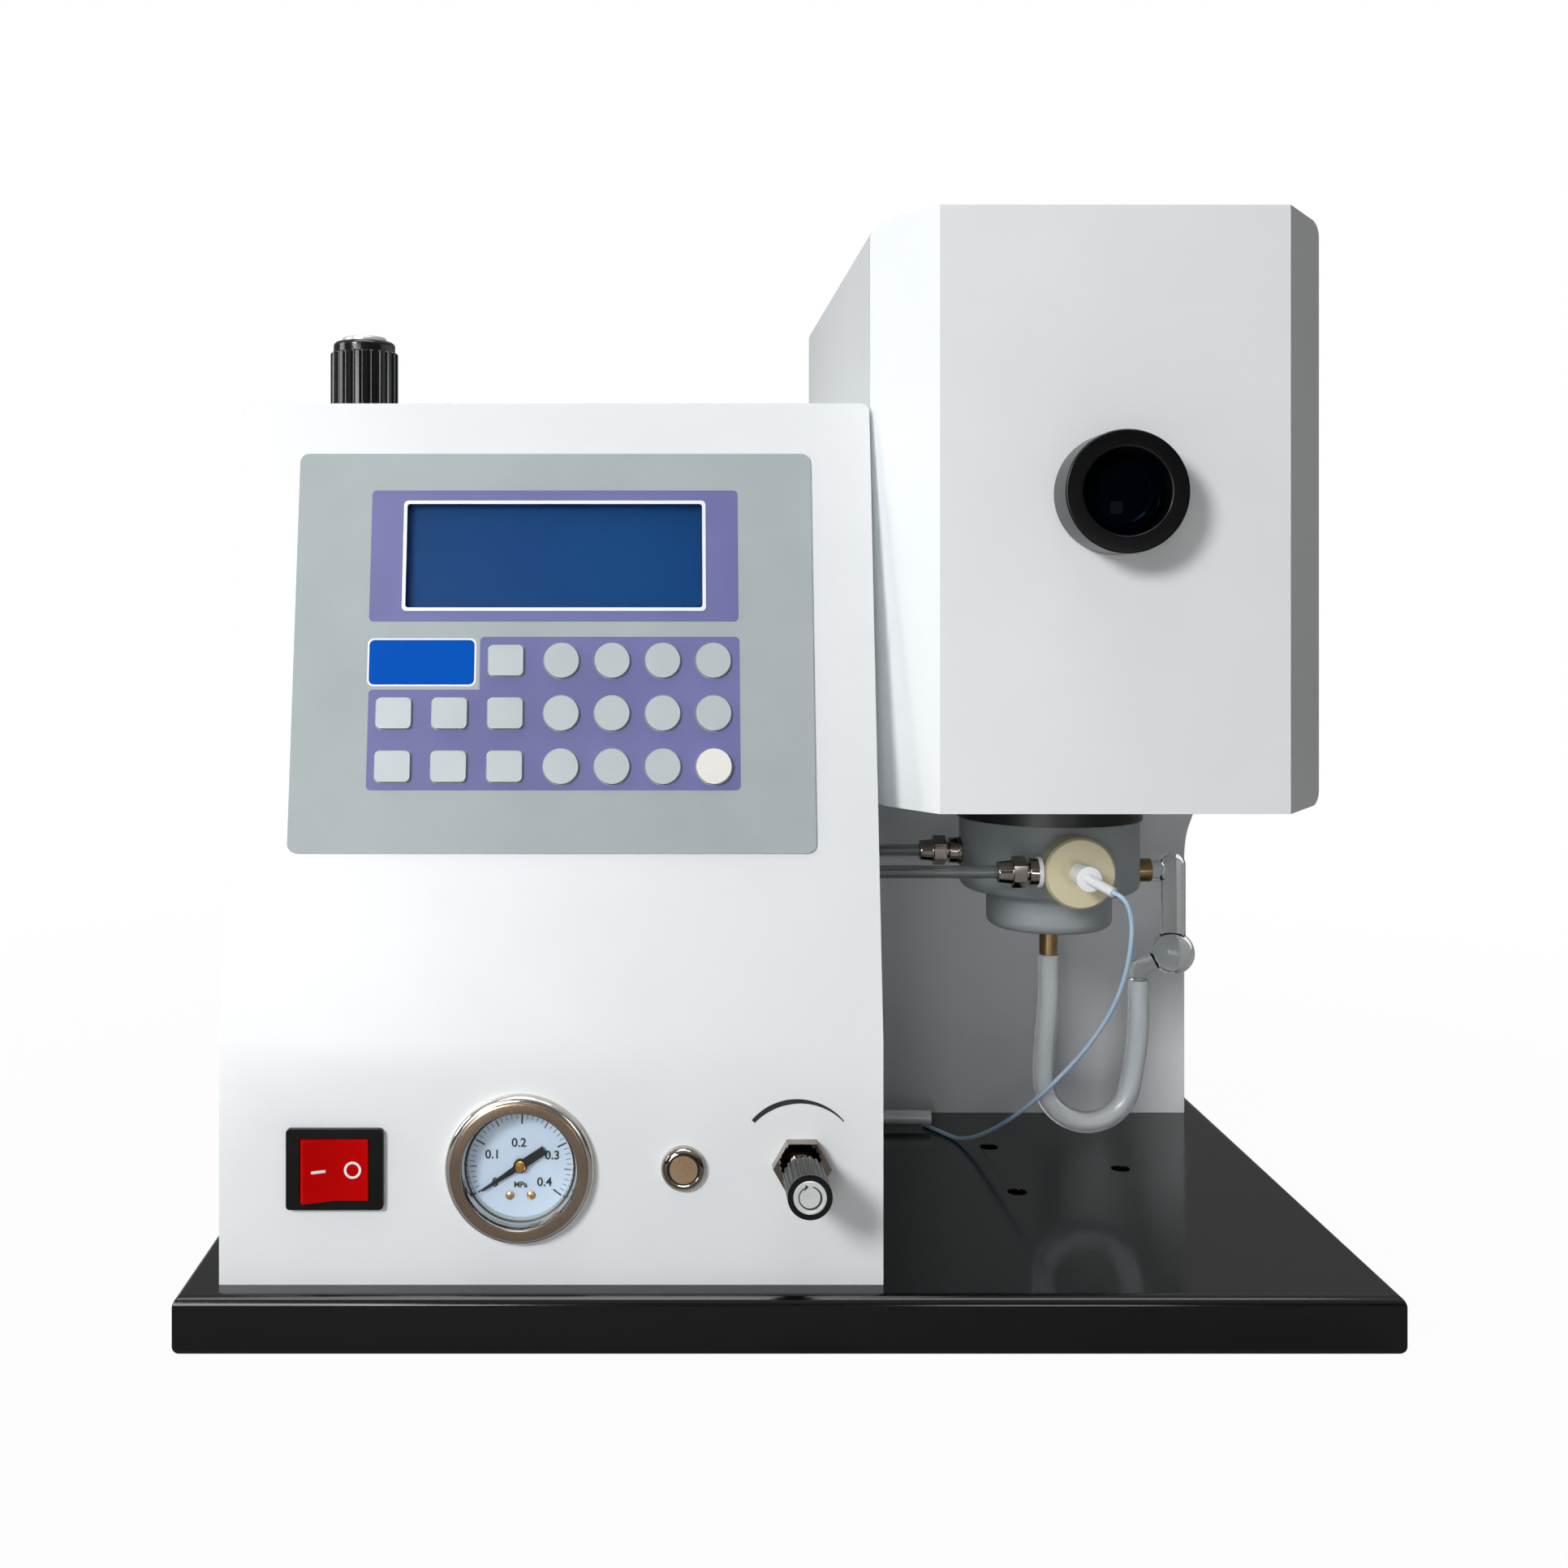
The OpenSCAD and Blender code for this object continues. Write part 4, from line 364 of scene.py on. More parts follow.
def add_plate(name, outlines, low, high, place, *looks, **more):
    """A flat plate from low to high; the first outline is its edge, the others its holes."""
    curve = bpy.data.curves.new(name, "CURVE")
    curve.dimensions, curve.fill_mode = "2D", "BOTH"
    curve.extrude = (high - low) / 2
    for outline in outlines:
        spline = curve.splines.new("POLY")
        spline.points.add(len(outline) - 1)
        for point, (x, y) in zip(spline.points, outline):
            point.co = (x, y, 0, 1)
        spline.use_cyclic_u = True
    mesh = drawn_mesh(name, curve, place @ Matrix.Translation((0, 0, (low + high) / 2)))
    mesh.name = name
    return add_piece(name, mesh, *looks, **more)


def add_lathe(name, profile, place, steps, *looks):
    """A closed profile of (radius, height) pairs turned round the z axis."""
    points, faces, rows = [], [], []
    for r, h in profile:
        if r == 0:
            rows.append([len(points)] * steps)
            points.append((0, 0, h))
            continue
        rows.append([len(points) + i for i in range(steps)])
        for i in range(steps):
            turn = 2 * math.pi * i / steps
            points.append((r * math.cos(turn), r * math.sin(turn), h))
    for a, b in zip(rows, rows[1:] + rows[:1]):
        for i in range(steps):
            j = (i + 1) % steps
            corners = list(dict.fromkeys((a[i], a[j], b[j], b[i])))
            if len(corners) > 2:
                faces.append(corners)
    return add_piece(name, new_mesh(name, points, faces, place, outward=True), *looks)


def smooth_route(points, steps=6):
    """A smooth curve through the points, as a list of close points."""
    made = []
    for i in range(len(points) - 1):
        a, b = points[max(i - 1, 0)], points[i]
        c, d = points[i + 1], points[min(i + 2, len(points) - 1)]
        for k in range(steps):
            t = k / steps
            made.append(0.5 * (2 * b + (c - a) * t + (2 * a - 5 * b + 4 * c - d) * t * t
                               + (3 * b - a - 3 * c + d) * t ** 3))
    return made + [points[-1]]


def hose_mesh(name, route, outer, bore=0.0, sides=32):
    """A tube along a route of points, with its bore if it has one."""
    last = len(route) - 1
    tangents = [(route[min(i + 1, last)] - route[max(i - 1, 0)]).normalized()
                for i in range(len(route))]
    side = tangents[0].cross(Vector((0, 1, 0.1))).normalized()
    radii = [outer, bore] if bore else [outer]
    points, faces = [], []
    for tangent, centre in zip(tangents, route):
        side = (side - side.dot(tangent) * tangent).normalized()
        up = tangent.cross(side)
        for r in radii:
            for k in range(sides):
                turn = 2 * math.pi * k / sides
                points.append(centre + r * (math.cos(turn) * side + math.sin(turn) * up))

    def at(i, layer, k):
        return (i * len(radii) + layer) * sides + k % sides

    for i in range(last):
        for k in range(sides):
            faces.append([at(i, 0, k), at(i, 0, k + 1), at(i + 1, 0, k + 1), at(i + 1, 0, k)])
            if bore:
                faces.append([at(i, 1, k), at(i + 1, 1, k), at(i + 1, 1, k + 1),
                              at(i, 1, k + 1)])
    for i in (0, last):
        if bore:
            for k in range(sides):
                faces.append([at(i, 0, k), at(i, 1, k), at(i, 1, k + 1), at(i, 0, k + 1)])
        else:
            faces.append([at(i, 0, k) for k in range(sides)])
    return new_mesh(name, points, faces, outward=True)


# ---- Camera, at the photograph's viewing angle ----

VIEW_X, VIEW_Z = -43.6 * MM, 235 * MM
VIEW_OFF = 530 * MM  # from the tray's front edge
IMAGE_SIDE = 1932  # in pixels, as the next two
HORIZON_AT = (800, 745)
FOCAL_PIXELS = 2103
SENSOR_WIDTH = 36

camera = add_object("camera", bpy.data.cameras.new("camera"))
camera.location = (VIEW_X, tray_low.y - VIEW_OFF, VIEW_Z)
camera.rotation_euler = (math.pi / 2, 0, 0)
camera.data.sensor_width = SENSOR_WIDTH
camera.data.lens = SENSOR_WIDTH * FOCAL_PIXELS / IMAGE_SIDE
camera.data.shift_x = 0.5 - HORIZON_AT[0] / IMAGE_SIDE
camera.data.shift_y = HORIZON_AT[1] / IMAGE_SIDE - 0.5
bpy.context.scene.camera = camera

# ---- Hanging tubes: the routes, in mm, are those of the part's source ----

DRAIN_D, DRAIN_BORE = 8 * MM, 5 * MM
CAPILLARY_D, CAPILLARY_SIDES = 1.6 * MM, 16
drain_points = [
    (106.1, 104), (106.1, 96), (106, 88), (105.4, 80), (104.7, 72), (104.2, 64.5),
    (104.1, 57.3), (105.1, 51.7), (107.9, 46.8), (112.3, 43.2), (117.6, 41.2),
    (123.2, 41.2), (128.6, 43.2), (132.9, 46.8), (135.7, 51.7), (137.1, 57.5),
    (138.3, 64), (139.2, 71), (139.7, 79), (139.7, 87), (139.7, 94.4)]
capillary_points = [
    (112.1, 42.4, 138.4), (113.7, 40.5, 137.6), (115.6, 40, 135.6), (117.2, 41, 132.2),
    (118.4, 43, 127.4), (119, 46, 121), (119.2, 50, 113.6), (118.8, 55, 105.6),
    (118, 61, 97.6), (116.6, 68, 89.6), (114.6, 75.5, 81.8), (112, 83, 74),
    (108.8, 91, 66.2), (105.2, 99, 58.4), (101.2, 107, 50.8), (97, 115.5, 43.4),
    (92.6, 124.5, 36.4), (88.2, 134, 30), (84, 143.5, 24.8), (80, 152.5, 21.6),
    (76.4, 160, 20.9), (72.6, 167, 20.9), (69.4, 173, 20.9)]


def make_drain_hose():
    """Hangs from the chamber's nipple (its points are x and z) to the trap."""
    route = smooth_route([Vector((x * MM, burner_y, z * MM)) for x, z in drain_points])
    mesh = hose_mesh("drain_tube", route, DRAIN_D / 2, DRAIN_BORE / 2)
    piece = add_piece("drain_tube", mesh, drain_silicone, "drain_silicone")
    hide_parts("drain_hose")


def make_capillary():
    """Hangs from the nebulizer's hub; its points are x, y behind the tray's front, and z."""
    route = smooth_route([Vector((x * MM, tray_low.y + y * MM, z * MM))
                          for x, y, z in capillary_points])
    mesh = hose_mesh("capillary_tube", route, CAPILLARY_D / 2, sides=CAPILLARY_SIDES)
    piece = add_piece("capillary_tube", mesh, capillary_blue, "capillary_blue")
    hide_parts("sample_capillary")


make_drain_hose()
make_capillary()

# ---- Finishes of the CAD nodes: material, edge radius in mm and steps round the edge ----

keys = [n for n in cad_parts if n.startswith(("round_key_", "square_key_"))]
finishes = {
    "base_tray": (black_enamel, 0.5, 3), "base_feet": (foot_rubber, 0, 1),
    "housing_screws": (screw_steel, 0, 1), "cabinet_shell": (white_enamel, 0.8, 3),
    "rear_panels": (white_enamel, 0.2, 2), "keypad_overlay": (overlay_film, 0.12, 2),
    "display_window": (window_acrylic, 0, 1), "display_module": (display_glass, 0, 1),
    "circuit_boards": (board_laminate, 0, 1), "switch_housing": (black_moulding, 0.35, 3),
    "power_rocker": (rocker_red, 0.5, 3), "gauge_case": (chrome_plate, 0.3, 3),
    "gauge_dial": (dial_enamel, 0, 1), "gauge_glass": (gauge_crystal, 0, 1),
    "gauge_pointer": (pointer_black, 0.1, 2), "ignition_bush": (chrome_plate, 0.8, 4),
    "ignition_button": (button_metal, 0.6, 4), "valve_body": (nut_plate, 0.45, 3),
    "valve_knob": (knurl_black, 0.15, 2), "regulator_body": (screw_steel, 0.2, 2),
    "regulator_knob": (knob_black, 0.25, 2), "power_inlet": (black_moulding, 0.4, 2),
    "gas_inlets": (brass_turned, 0.2, 2), "head_shell": (white_enamel, 0.9, 3),
    "column_shell": (white_enamel, 0.6, 2), "eyepiece_tube": (eyepiece_black, 1.0, 4),
    "eyepiece_lens": (lens_glass, 0, 1), "burner_ring": (ring_black, 0.4, 3),
    "mixing_chamber": (frosted, 0.4, 3), "burner_head": (brass_turned, 0.2, 2),
    "flame_chimney": (chimney_steel, 0.2, 2), "detector_block": (detector_black, 0.3, 2),
    "nebulizer_body": (anodised, 0.3, 3), "nebulizer_hub": (hub_white, 0.35, 3),
    "capillary_sleeves": (sleeve_clear, 0.2, 2), "hose_fittings": (fitting_nickel, 0.3, 3),
    "gas_hoses": (hose_smoke, 0, 1), "chamber_nipples": (brass_turned, 0.2, 2),
    "overflow_trap": (trap_glass, 0, 1)}
finishes.update({name: (key_grey, 0.3, 3) for name in keys})
finishes["round_key_12"] = (key_white, 0.45, 3)

for name, (material, width, segments) in finishes.items():
    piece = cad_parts[name]
    piece.data.materials.clear()
    piece.data.materials.append(material)
    soften(piece, width * MM, segments)

# ---- Prints on the keypad overlay ----

PRINT_LOW = 0.8 * MM  # the overlay's own thickness
PRINT_HIGH = PRINT_LOW + 0.06 * MM
FRAME_RISE, FRAME_EDGE = 0.25 * MM, 0.1 * MM
KEY_HOLE_R = 6.05 * MM
KEY_HOLE_HALF, KEY_HOLE_CORNER = (6.05 * MM, 5.35 * MM), 1.9 * MM
SURROUND_HALF = (60.75 * MM, 22.1 * MM)
FRAME_HALF, FRAME_RIM = (50.1 * MM, 18.6 * MM), 1.15 * MM
PRINT_CORNER, FRAME_CORNER = 1.5 * MM, 1.0 * MM
FIELD_LEFT, FIELD_STEP, FIELD_RIGHT = -135.3 * MM, -99.1 * MM, -14 * MM
FIELD_HEIGHTS = (174.8 * MM, 207.1 * MM, 224.3 * MM)  # its foot, its step and its top
LABEL_X, LABEL_Z = (-135.9 * MM, -100.3 * MM), (208.2 * MM, 223.8 * MM)
LABEL_CORNER, LABEL_RIM = 2 * MM, 0.55 * MM


def box_round(x, y, half, corner):
    """Outline of a rectangle round its middle, with round corners."""
    return rounded(x - half[0], y - half[1], x + half[0], y + half[1], corner)


def key_hole(name):
    """The gap in the purple field round a key."""
    low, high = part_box(name)
    spot = on_slope().inverted() @ ((low + high) / 2)
    if name.startswith("round"):
        return circle(KEY_HOLE_R, spot.x, spot.y)
    return box_round(spot.x, spot.y, KEY_HOLE_HALF, KEY_HOLE_CORNER)


def add_print(name, outlines, ink, rise=0.0, width=0.0):
    """A thin layer of ink on the overlay; rise makes it thicker."""
    add_plate(name, outlines, PRINT_LOW, PRINT_HIGH + rise, on_slope(), ink, "overlay_film",
              width=width)


def make_display_prints():
    """The purple surround of the display and the raised white frame inside it."""
    window_low, window_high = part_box("display_window")
    spot = middle("display_window", X), (slope_up(window_low.z) + slope_up(window_high.z)) / 2
    outer = box_round(*spot, SURROUND_HALF, PRINT_CORNER)
    hole = box_round(*spot, FRAME_HALF, PRINT_CORNER)
    add_print("display_surround", [outer, hole], purple_ink)
    inner = box_round(*spot, [half - FRAME_RIM for half in FRAME_HALF], FRAME_CORNER)
    add_print("display_frame", [hole, inner], white_ink, FRAME_RISE, FRAME_EDGE)


def make_keypad_prints():
    """The purple field, with a step for the label at its upper left, and the label."""
    left, right, step_x, r = FIELD_LEFT, FIELD_RIGHT, FIELD_STEP, PRINT_CORNER
    low, step, high = (slope_up(z) for z in FIELD_HEIGHTS)
    field = (arc(right - r, high - r, r, 0, 90) + arc(step_x + r, high - r, r, 90, 180)
             + [(step_x, step)] + arc(left + r, step - r, r, 90, 180)
             + arc(left + r, low + r, r, 180, 270) + arc(right - r, low + r, r, 270, 360))
    add_print("keypad_field", [field] + [key_hole(name) for name in keys], purple_ink)
    x0, x1 = LABEL_X
    y0, y1 = (slope_up(z) for z in LABEL_Z)
    edge = rounded(x0, y0, x1, y1, LABEL_CORNER)
    inside = rounded(x0 + LABEL_RIM, y0 + LABEL_RIM, x1 - LABEL_RIM, y1 - LABEL_RIM,
                     LABEL_CORNER - LABEL_RIM / 2)
    add_print("label_border", [edge, inside], white_ink)
    add_print("label_field", [inside], blue_ink)


make_display_prints()
make_keypad_prints()

# ---- Rocker marks ----

ROCKER_TILT = math.radians(10)
ROCKER_RISE = 2.4 * MM  # from the panel to the valley between the rocker's faces
MARK_OFF = 5.3 * MM  # from that valley to the middle of a mark
MARK_LOW, MARK_HIGH = -0.02 * MM, 0.08 * MM


def make_rocker_marks():
    """A bar and a ring on the rocker's two faces."""
    turned = on_front(switch_x, control_z) @ Matrix.Rotation(ROCKER_TILT, 4, "Y")
    bar = box_round(0, 0, (2.3 * MM, 0.45 * MM), 0.3 * MM)
    ring, ring_hole = circle(2.7 * MM), circle(1.95 * MM)
    for side, name, outlines in ((-1, "rocker_bar", [bar]),
                                 (1, "rocker_ring", [ring, ring_hole])):
        rise = ROCKER_RISE + MARK_OFF * math.tan(ROCKER_TILT)
        face = turned @ Matrix.Translation((side * MARK_OFF, 0, rise)) @ Matrix.Rotation(
            -side * ROCKER_TILT, 4, "Y")
        add_plate(name, outlines, MARK_LOW, MARK_HIGH, face, white_ink, "rocker_red",
                  "power_rocker")


make_rocker_marks()

# ---- Pressure gauge: sizes in mm, radii from its axis and heights from the panel ----

GAUGE_WINDOW_R, GAUGE_FACE_R, GAUGE_FLANGE_R = 18.3, 21.8, 23.45
GAUGE_FACE_W, GAUGE_FLANGE_W, DIAL_W = 4.6, 1.8, -3.0
BEZEL_INSIDE_R, ROLL_INSIDE_R = 21.2, 21.25
STEPS_INNER_R, STEPS_OUTER_R, STEPS_TOP, STEP_COUNT = 16.6, 18.2, 1.9, 3
TURN_STEPS = 128
SCALE_START, SCALE_SWEEP = 213, 250  # degrees
SCALE_STEPS, MINOR_STEPS = 4, 10
TICK_OUTER_R, INK_T = 16.2, 0.04
TICKS = ((MINOR_STEPS, 13.0, 0.5), (MINOR_STEPS // 2, 13.9, 0.34), (1, 14.6, 0.2))
NUMBER_SPOTS = ((-8.1, -5.7), (-8.9, 3.2), (-0.5, 6.9), (10.1, 2.9), (7.6, -5.6))
NUMBER_SIZE, UNIT_SIZE, UNIT_DOWN = 3.9, 2.5, 6.4
TEXT_T, TEXT_GAIN, TEXT_LIFT = 0.03, 0.09, 0.02
SCREW_X, SCREW_Y, SCREW_R, SCREW_H, SCREW_RIM = 3.35, -9.7, 1.45, 0.65, 0.12
HUB_W, HUB_R = -1.2, 1.75
on_gauge = on_front(gauge_x, control_z)


def in_metres(pairs):
    """Pairs in millimetres, as metres."""
    return [(a * MM, b * MM) for a, b in pairs]


def make_gauge_rings():
    """The bronze bezel face, the rolled chrome edge and the stepped ring inside."""
    face, up = GAUGE_FACE_R, GAUGE_FACE_W
    bezel = [(GAUGE_WINDOW_R, up), (GAUGE_WINDOW_R + 0.25, up + 0.35), (face - 0.6, up + 0.35),
             (face - 0.15, up + 0.1), (face, up - 0.4), (face, up - 1.3),
             (BEZEL_INSIDE_R, up - 1.3), (BEZEL_INSIDE_R, up)]
    add_lathe("gauge_bezel_face", in_metres(bezel), on_gauge, TURN_STEPS, bronze_plate,
              "chrome_plate")
    edge, low, roll_r = GAUGE_FLANGE_R, GAUGE_FLANGE_W, GAUGE_FLANGE_R - GAUGE_FACE_R
    roll = [(ROLL_INSIDE_R, low), (edge, low)]
    roll += [(edge - roll_r + r, low + w) for r, w in arc(0, 0, roll_r, 15, 90, 6)]
    roll += [(ROLL_INSIDE_R, low + roll_r)]
    add_lathe("gauge_rolled_edge", in_metres(roll), on_gauge, TURN_STEPS, chrome_plate,
              "chrome_plate")
    stairs = [(STEPS_OUTER_R, DIAL_W), (STEPS_OUTER_R, STEPS_TOP)]
    for i in range(STEP_COUNT):
        r = STEPS_OUTER_R - (STEPS_OUTER_R - STEPS_INNER_R) * (i + 1) / STEP_COUNT
        w = STEPS_TOP - (STEPS_TOP - DIAL_W) * (i + 0.55) / STEP_COUNT
        stairs += [(r + 0.12, w), (r, w - 0.15)]
    stairs += [(STEPS_INNER_R, DIAL_W)]
    add_lathe("gauge_inner_steps", in_metres(stairs), on_gauge, TURN_STEPS, chrome_plate,
              "chrome_plate")


def make_gauge_gasket():
    """The black sealing ring between the steps inside the gauge."""
    section = [(16.95, -0.3), (17.55, -0.1), (17.9, 0.7), (17.9, -0.8), (16.95, -0.8)]
    add_lathe("gauge_gasket", in_metres(section), on_gauge, 96, ring_black, "ring_black")


def tick_outline(share, inner, width):
    """A tick's outline at a share of the full scale."""
    turn = math.radians(SCALE_START - SCALE_SWEEP * share)
    along = Vector((math.cos(turn), math.sin(turn)))
    across = Vector((-along.y, along.x)) * width / 2
    outer = TICK_OUTER_R * MM
    return [tuple(along * inner - across), tuple(along * outer - across),
            tuple(along * outer + across), tuple(along * inner + across)]


def add_dial_text(name, words, size, x, y):
    """Black words on the dial, centred on a spot."""
    curve = bpy.data.curves.new(name, "FONT")
    curve.body, curve.size, curve.extrude = words, size * MM, TEXT_T * MM / 2
    curve.align_x, curve.align_y = "CENTER", "CENTER"
    curve.resolution_u, curve.offset = 6, TEXT_GAIN * MM
    spot = on_gauge @ Matrix.Translation((x * MM, y * MM, (DIAL_W + TEXT_LIFT) * MM))
    add_piece(name, drawn_mesh(name, curve, spot), black_ink, "dial_enamel")


def make_dial_print():
    """Long, middle and short ticks, the numbers at the long ones, and the unit."""
    count = SCALE_STEPS * MINOR_STEPS
    ticks = []
    for i in range(count + 1):
        inner, width = next((r, w) for every, r, w in TICKS if i % every == 0)
        ticks.append(tick_outline(i / count, inner * MM, width * MM))
    add_plate("dial_ticks", ticks, DIAL_W * MM, (DIAL_W + INK_T) * MM, on_gauge, black_ink,
              "dial_enamel")
    for i, (x, y) in enumerate(NUMBER_SPOTS):
        add_dial_text(f"dial_number_{i}", f"0.{i}" if i else "0", NUMBER_SIZE, x, y)
    add_dial_text("dial_unit", "MPa", UNIT_SIZE, 0, -UNIT_DOWN)


def make_dial_metal():
    """The two screws of the dial and the brass cap of the pointer's hub."""
    dome = [(0, 0), (SCREW_R, 0), (SCREW_R, SCREW_RIM)]
    dome += [(SCREW_R * math.cos(t), SCREW_RIM + (SCREW_H - SCREW_RIM) * math.sin(t))
             for t in (0.3, 0.6, 0.9, 1.2, 1.45)]
    dome += [(0, SCREW_H)]
    for side, name in ((-1, "dial_screw_left"), (1, "dial_screw_right")):
        spot = on_gauge @ Matrix.Translation((side * SCREW_X * MM, SCREW_Y * MM, DIAL_W * MM))
        add_lathe(name, in_metres(dome), spot, 40, button_metal, "chrome_plate")
    cap = [(0, HUB_W), (HUB_R, HUB_W), (HUB_R, HUB_W + 0.35), (HUB_R - 0.3, HUB_W + 0.6),
           (0.5, HUB_W + 0.7), (0.45, HUB_W + 0.5), (0, HUB_W + 0.5)]
    add_lathe("pointer_cap", in_metres(cap), on_gauge, 48, brass_bright, "brass_fitting",
              "gauge_pointer")


make_gauge_rings()
make_gauge_gasket()
make_dial_print()
make_dial_metal()

# ---- Ignition button: the domed ring and the dark groove round its cap ----


def make_ignition_ring():
    """The domed ring, and the groove between it and the cap."""
    place = on_front(ignition_x, control_z)
    inner, outer, high = 4.95, 7.05, 2.5
    ring = [(inner, 0), (inner, high - 0.3), (inner + 0.3, high), (5.7, high - 0.15),
            (6.35, 1.9), (6.85, 1.1), (outer, 0.35), (outer, 0)]
    add_lathe("ignition_ring", in_metres(ring), place, 96, nut_plate, "chrome_plate")
    cap_r, low, top = 4.46, 1.55, 1.7
    groove = [(cap_r, low), (inner, low), (inner, top), (cap_r, top)]
    add_lathe("ignition_groove", in_metres(groove), place, 64, black_ink, "chrome_plate")


make_ignition_ring()

# ---- Needle valve: the mark above it and the disc in its knob ----


def band(r, start, end, widths, steps=40):
    """An arc's outline whose width follows the list of widths from start to end."""
    outer, inner = [], []
    for i in range(steps + 1):
        share = i / steps
        turn = math.radians(start + (end - start) * share)
        at = share * (len(widths) - 1)
        j = min(int(at), len(widths) - 2)
        width = widths[j] + (widths[j + 1] - widths[j]) * (at - j)
        outer.append(((r + width / 2) * math.cos(turn), (r + width / 2) * math.sin(turn)))
        inner.append(((r - width / 2) * math.cos(turn), (r - width / 2) * math.sin(turn)))
    return outer + inner[::-1]


def make_valve_marks():
    """The swelling mark above the valve, and the disc and turned arrow on its knob."""
    mark_r, mark_right, mark_up, mark_t = 19.3 * MM, -0.8 * MM, 0.7 * MM, 0.08 * MM
    flow = band(mark_r, 138, 42, [v * MM for v in (1.35, 1.6, 1.6, 1.2, 0.8, 0.35)])
    place = on_front(valve_x + mark_right, valve_z + mark_up)
    add_plate("flow_mark", [flow], 0, mark_t, place, black_ink, "white_enamel")
    end = on_front(valve_x, valve_z) @ Matrix.Translation((0, 0, front_y - valve_front))
    disc_r, disc_h, sunk = 5.0, 0.35, 0.12
    disc = [(0, 0), (disc_r, 0), (disc_r, disc_h - 0.1), (disc_r - 0.1, disc_h),
            (disc_r - 0.7, disc_h), (disc_r - 0.8, disc_h - sunk), (0, disc_h - sunk)]
    add_lathe("valve_disc", in_metres(disc), end, 64, nickel_disc, "chrome_plate",
              "valve_knob")
    arrow = band(3.35 * MM, 78, -238, [v * MM for v in (0.3, 0.62, 0.5, 0.34, 0.34)])
    tip = in_metres([(-1.95, 1.95), (-0.45, 3.2), (-1.25, 3.95)])
    face = (disc_h - sunk) * MM
    add_plate("valve_arrow", [arrow, tip], face, face + 0.05 * MM, end, black_ink,
              "chrome_plate", "valve_knob")


make_valve_marks()

# ---- Eyepiece and nebulizer: lens rings, coating and the washer of the air fitting ----

RING_T = 0.25  # mm
LENS_RINGS = (  # in mm: radius inside and outside, height inside and outside
    ("lens_ring_inner", 7.7, 8.15, -1.5, -0.9), ("lens_ring_outer", 8.9, 9.8, -1.1, 0.1),
    ("lens_ring_rim", 11.3, 11.9, 0.6, 1.8))
AIR_HOSE_IN = 5 * MM  # behind the nebulizer's front


def make_lens_rings():
    """Coated conical rings round the lens, which catch the light low on the right."""
    spot = (middle("eyepiece_tube", X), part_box("eyepiece_lens")[0].y,
            middle("eyepiece_tube", Z))
    place = Matrix.Translation(spot) @ Matrix.Rotation(math.pi / 2, 4, "X")
    for name, r0, r1, w0, w1 in LENS_RINGS:
        cone = [(r0, w0), (r1, w1), (r1, w1 - RING_T), (r0, w0 - RING_T)]
        add_lathe(name, in_metres(cone), place, 96, coating_blue, "lens_glass")


def make_air_washer():
    """The white washer between the air fitting and the nebulizer."""
    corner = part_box("nebulizer_body")[0]
    spot = (corner.x - 0.05 * MM, corner.y + AIR_HOSE_IN, middle("nebulizer_body", Z))
    place = Matrix.Translation(spot) @ Matrix.Rotation(math.pi / 2, 4, "Y")
    inner, outer, back, edge = 3.1, 5.35, -1.5, 0.15
    ring = [(inner, back), (outer - edge, back), (outer, back + edge), (outer, -edge),
            (outer - edge, 0), (inner, 0)]
    add_lathe("air_washer", in_metres(ring), place, 64, washer_white, "hub_white")


make_lens_rings()
make_air_washer()

# ---- Regulator knob ----

FLUTE_COUNT, FLUTE_STEPS, FLUTE_SHARE, FLUTE_POWER = 24, 10, 0.6, 0.7
FLUTE_DEPTH = 0.75 * MM


def fluted_mesh(name, rows, place):
    """Rows of (radius, height, groove share) turned round, with grooves down the side."""
    steps = FLUTE_COUNT * FLUTE_STEPS
    points, faces = [], []
    for r, h, share in rows:
        for i in range(steps):
            phase = min(1.0, (i % FLUTE_STEPS) / FLUTE_STEPS / FLUTE_SHARE)
            groove = max(0.0, math.sin(math.pi * phase)) ** FLUTE_POWER
            radius = r - FLUTE_DEPTH * share * groove
            turn = 2 * math.pi * i / steps
            points.append((radius * math.cos(turn), radius * math.sin(turn), h))
    for row in range(len(rows) - 1):
        for i in range(steps):
            j = (i + 1) % steps
            faces.append([row * steps + i, row * steps + j, (row + 1) * steps + j,
                          (row + 1) * steps + i])
    faces.append(list(range(steps))[::-1])
    faces.append([(len(rows) - 1) * steps + i for i in range(steps)])
    return new_mesh(name, points, faces, place)


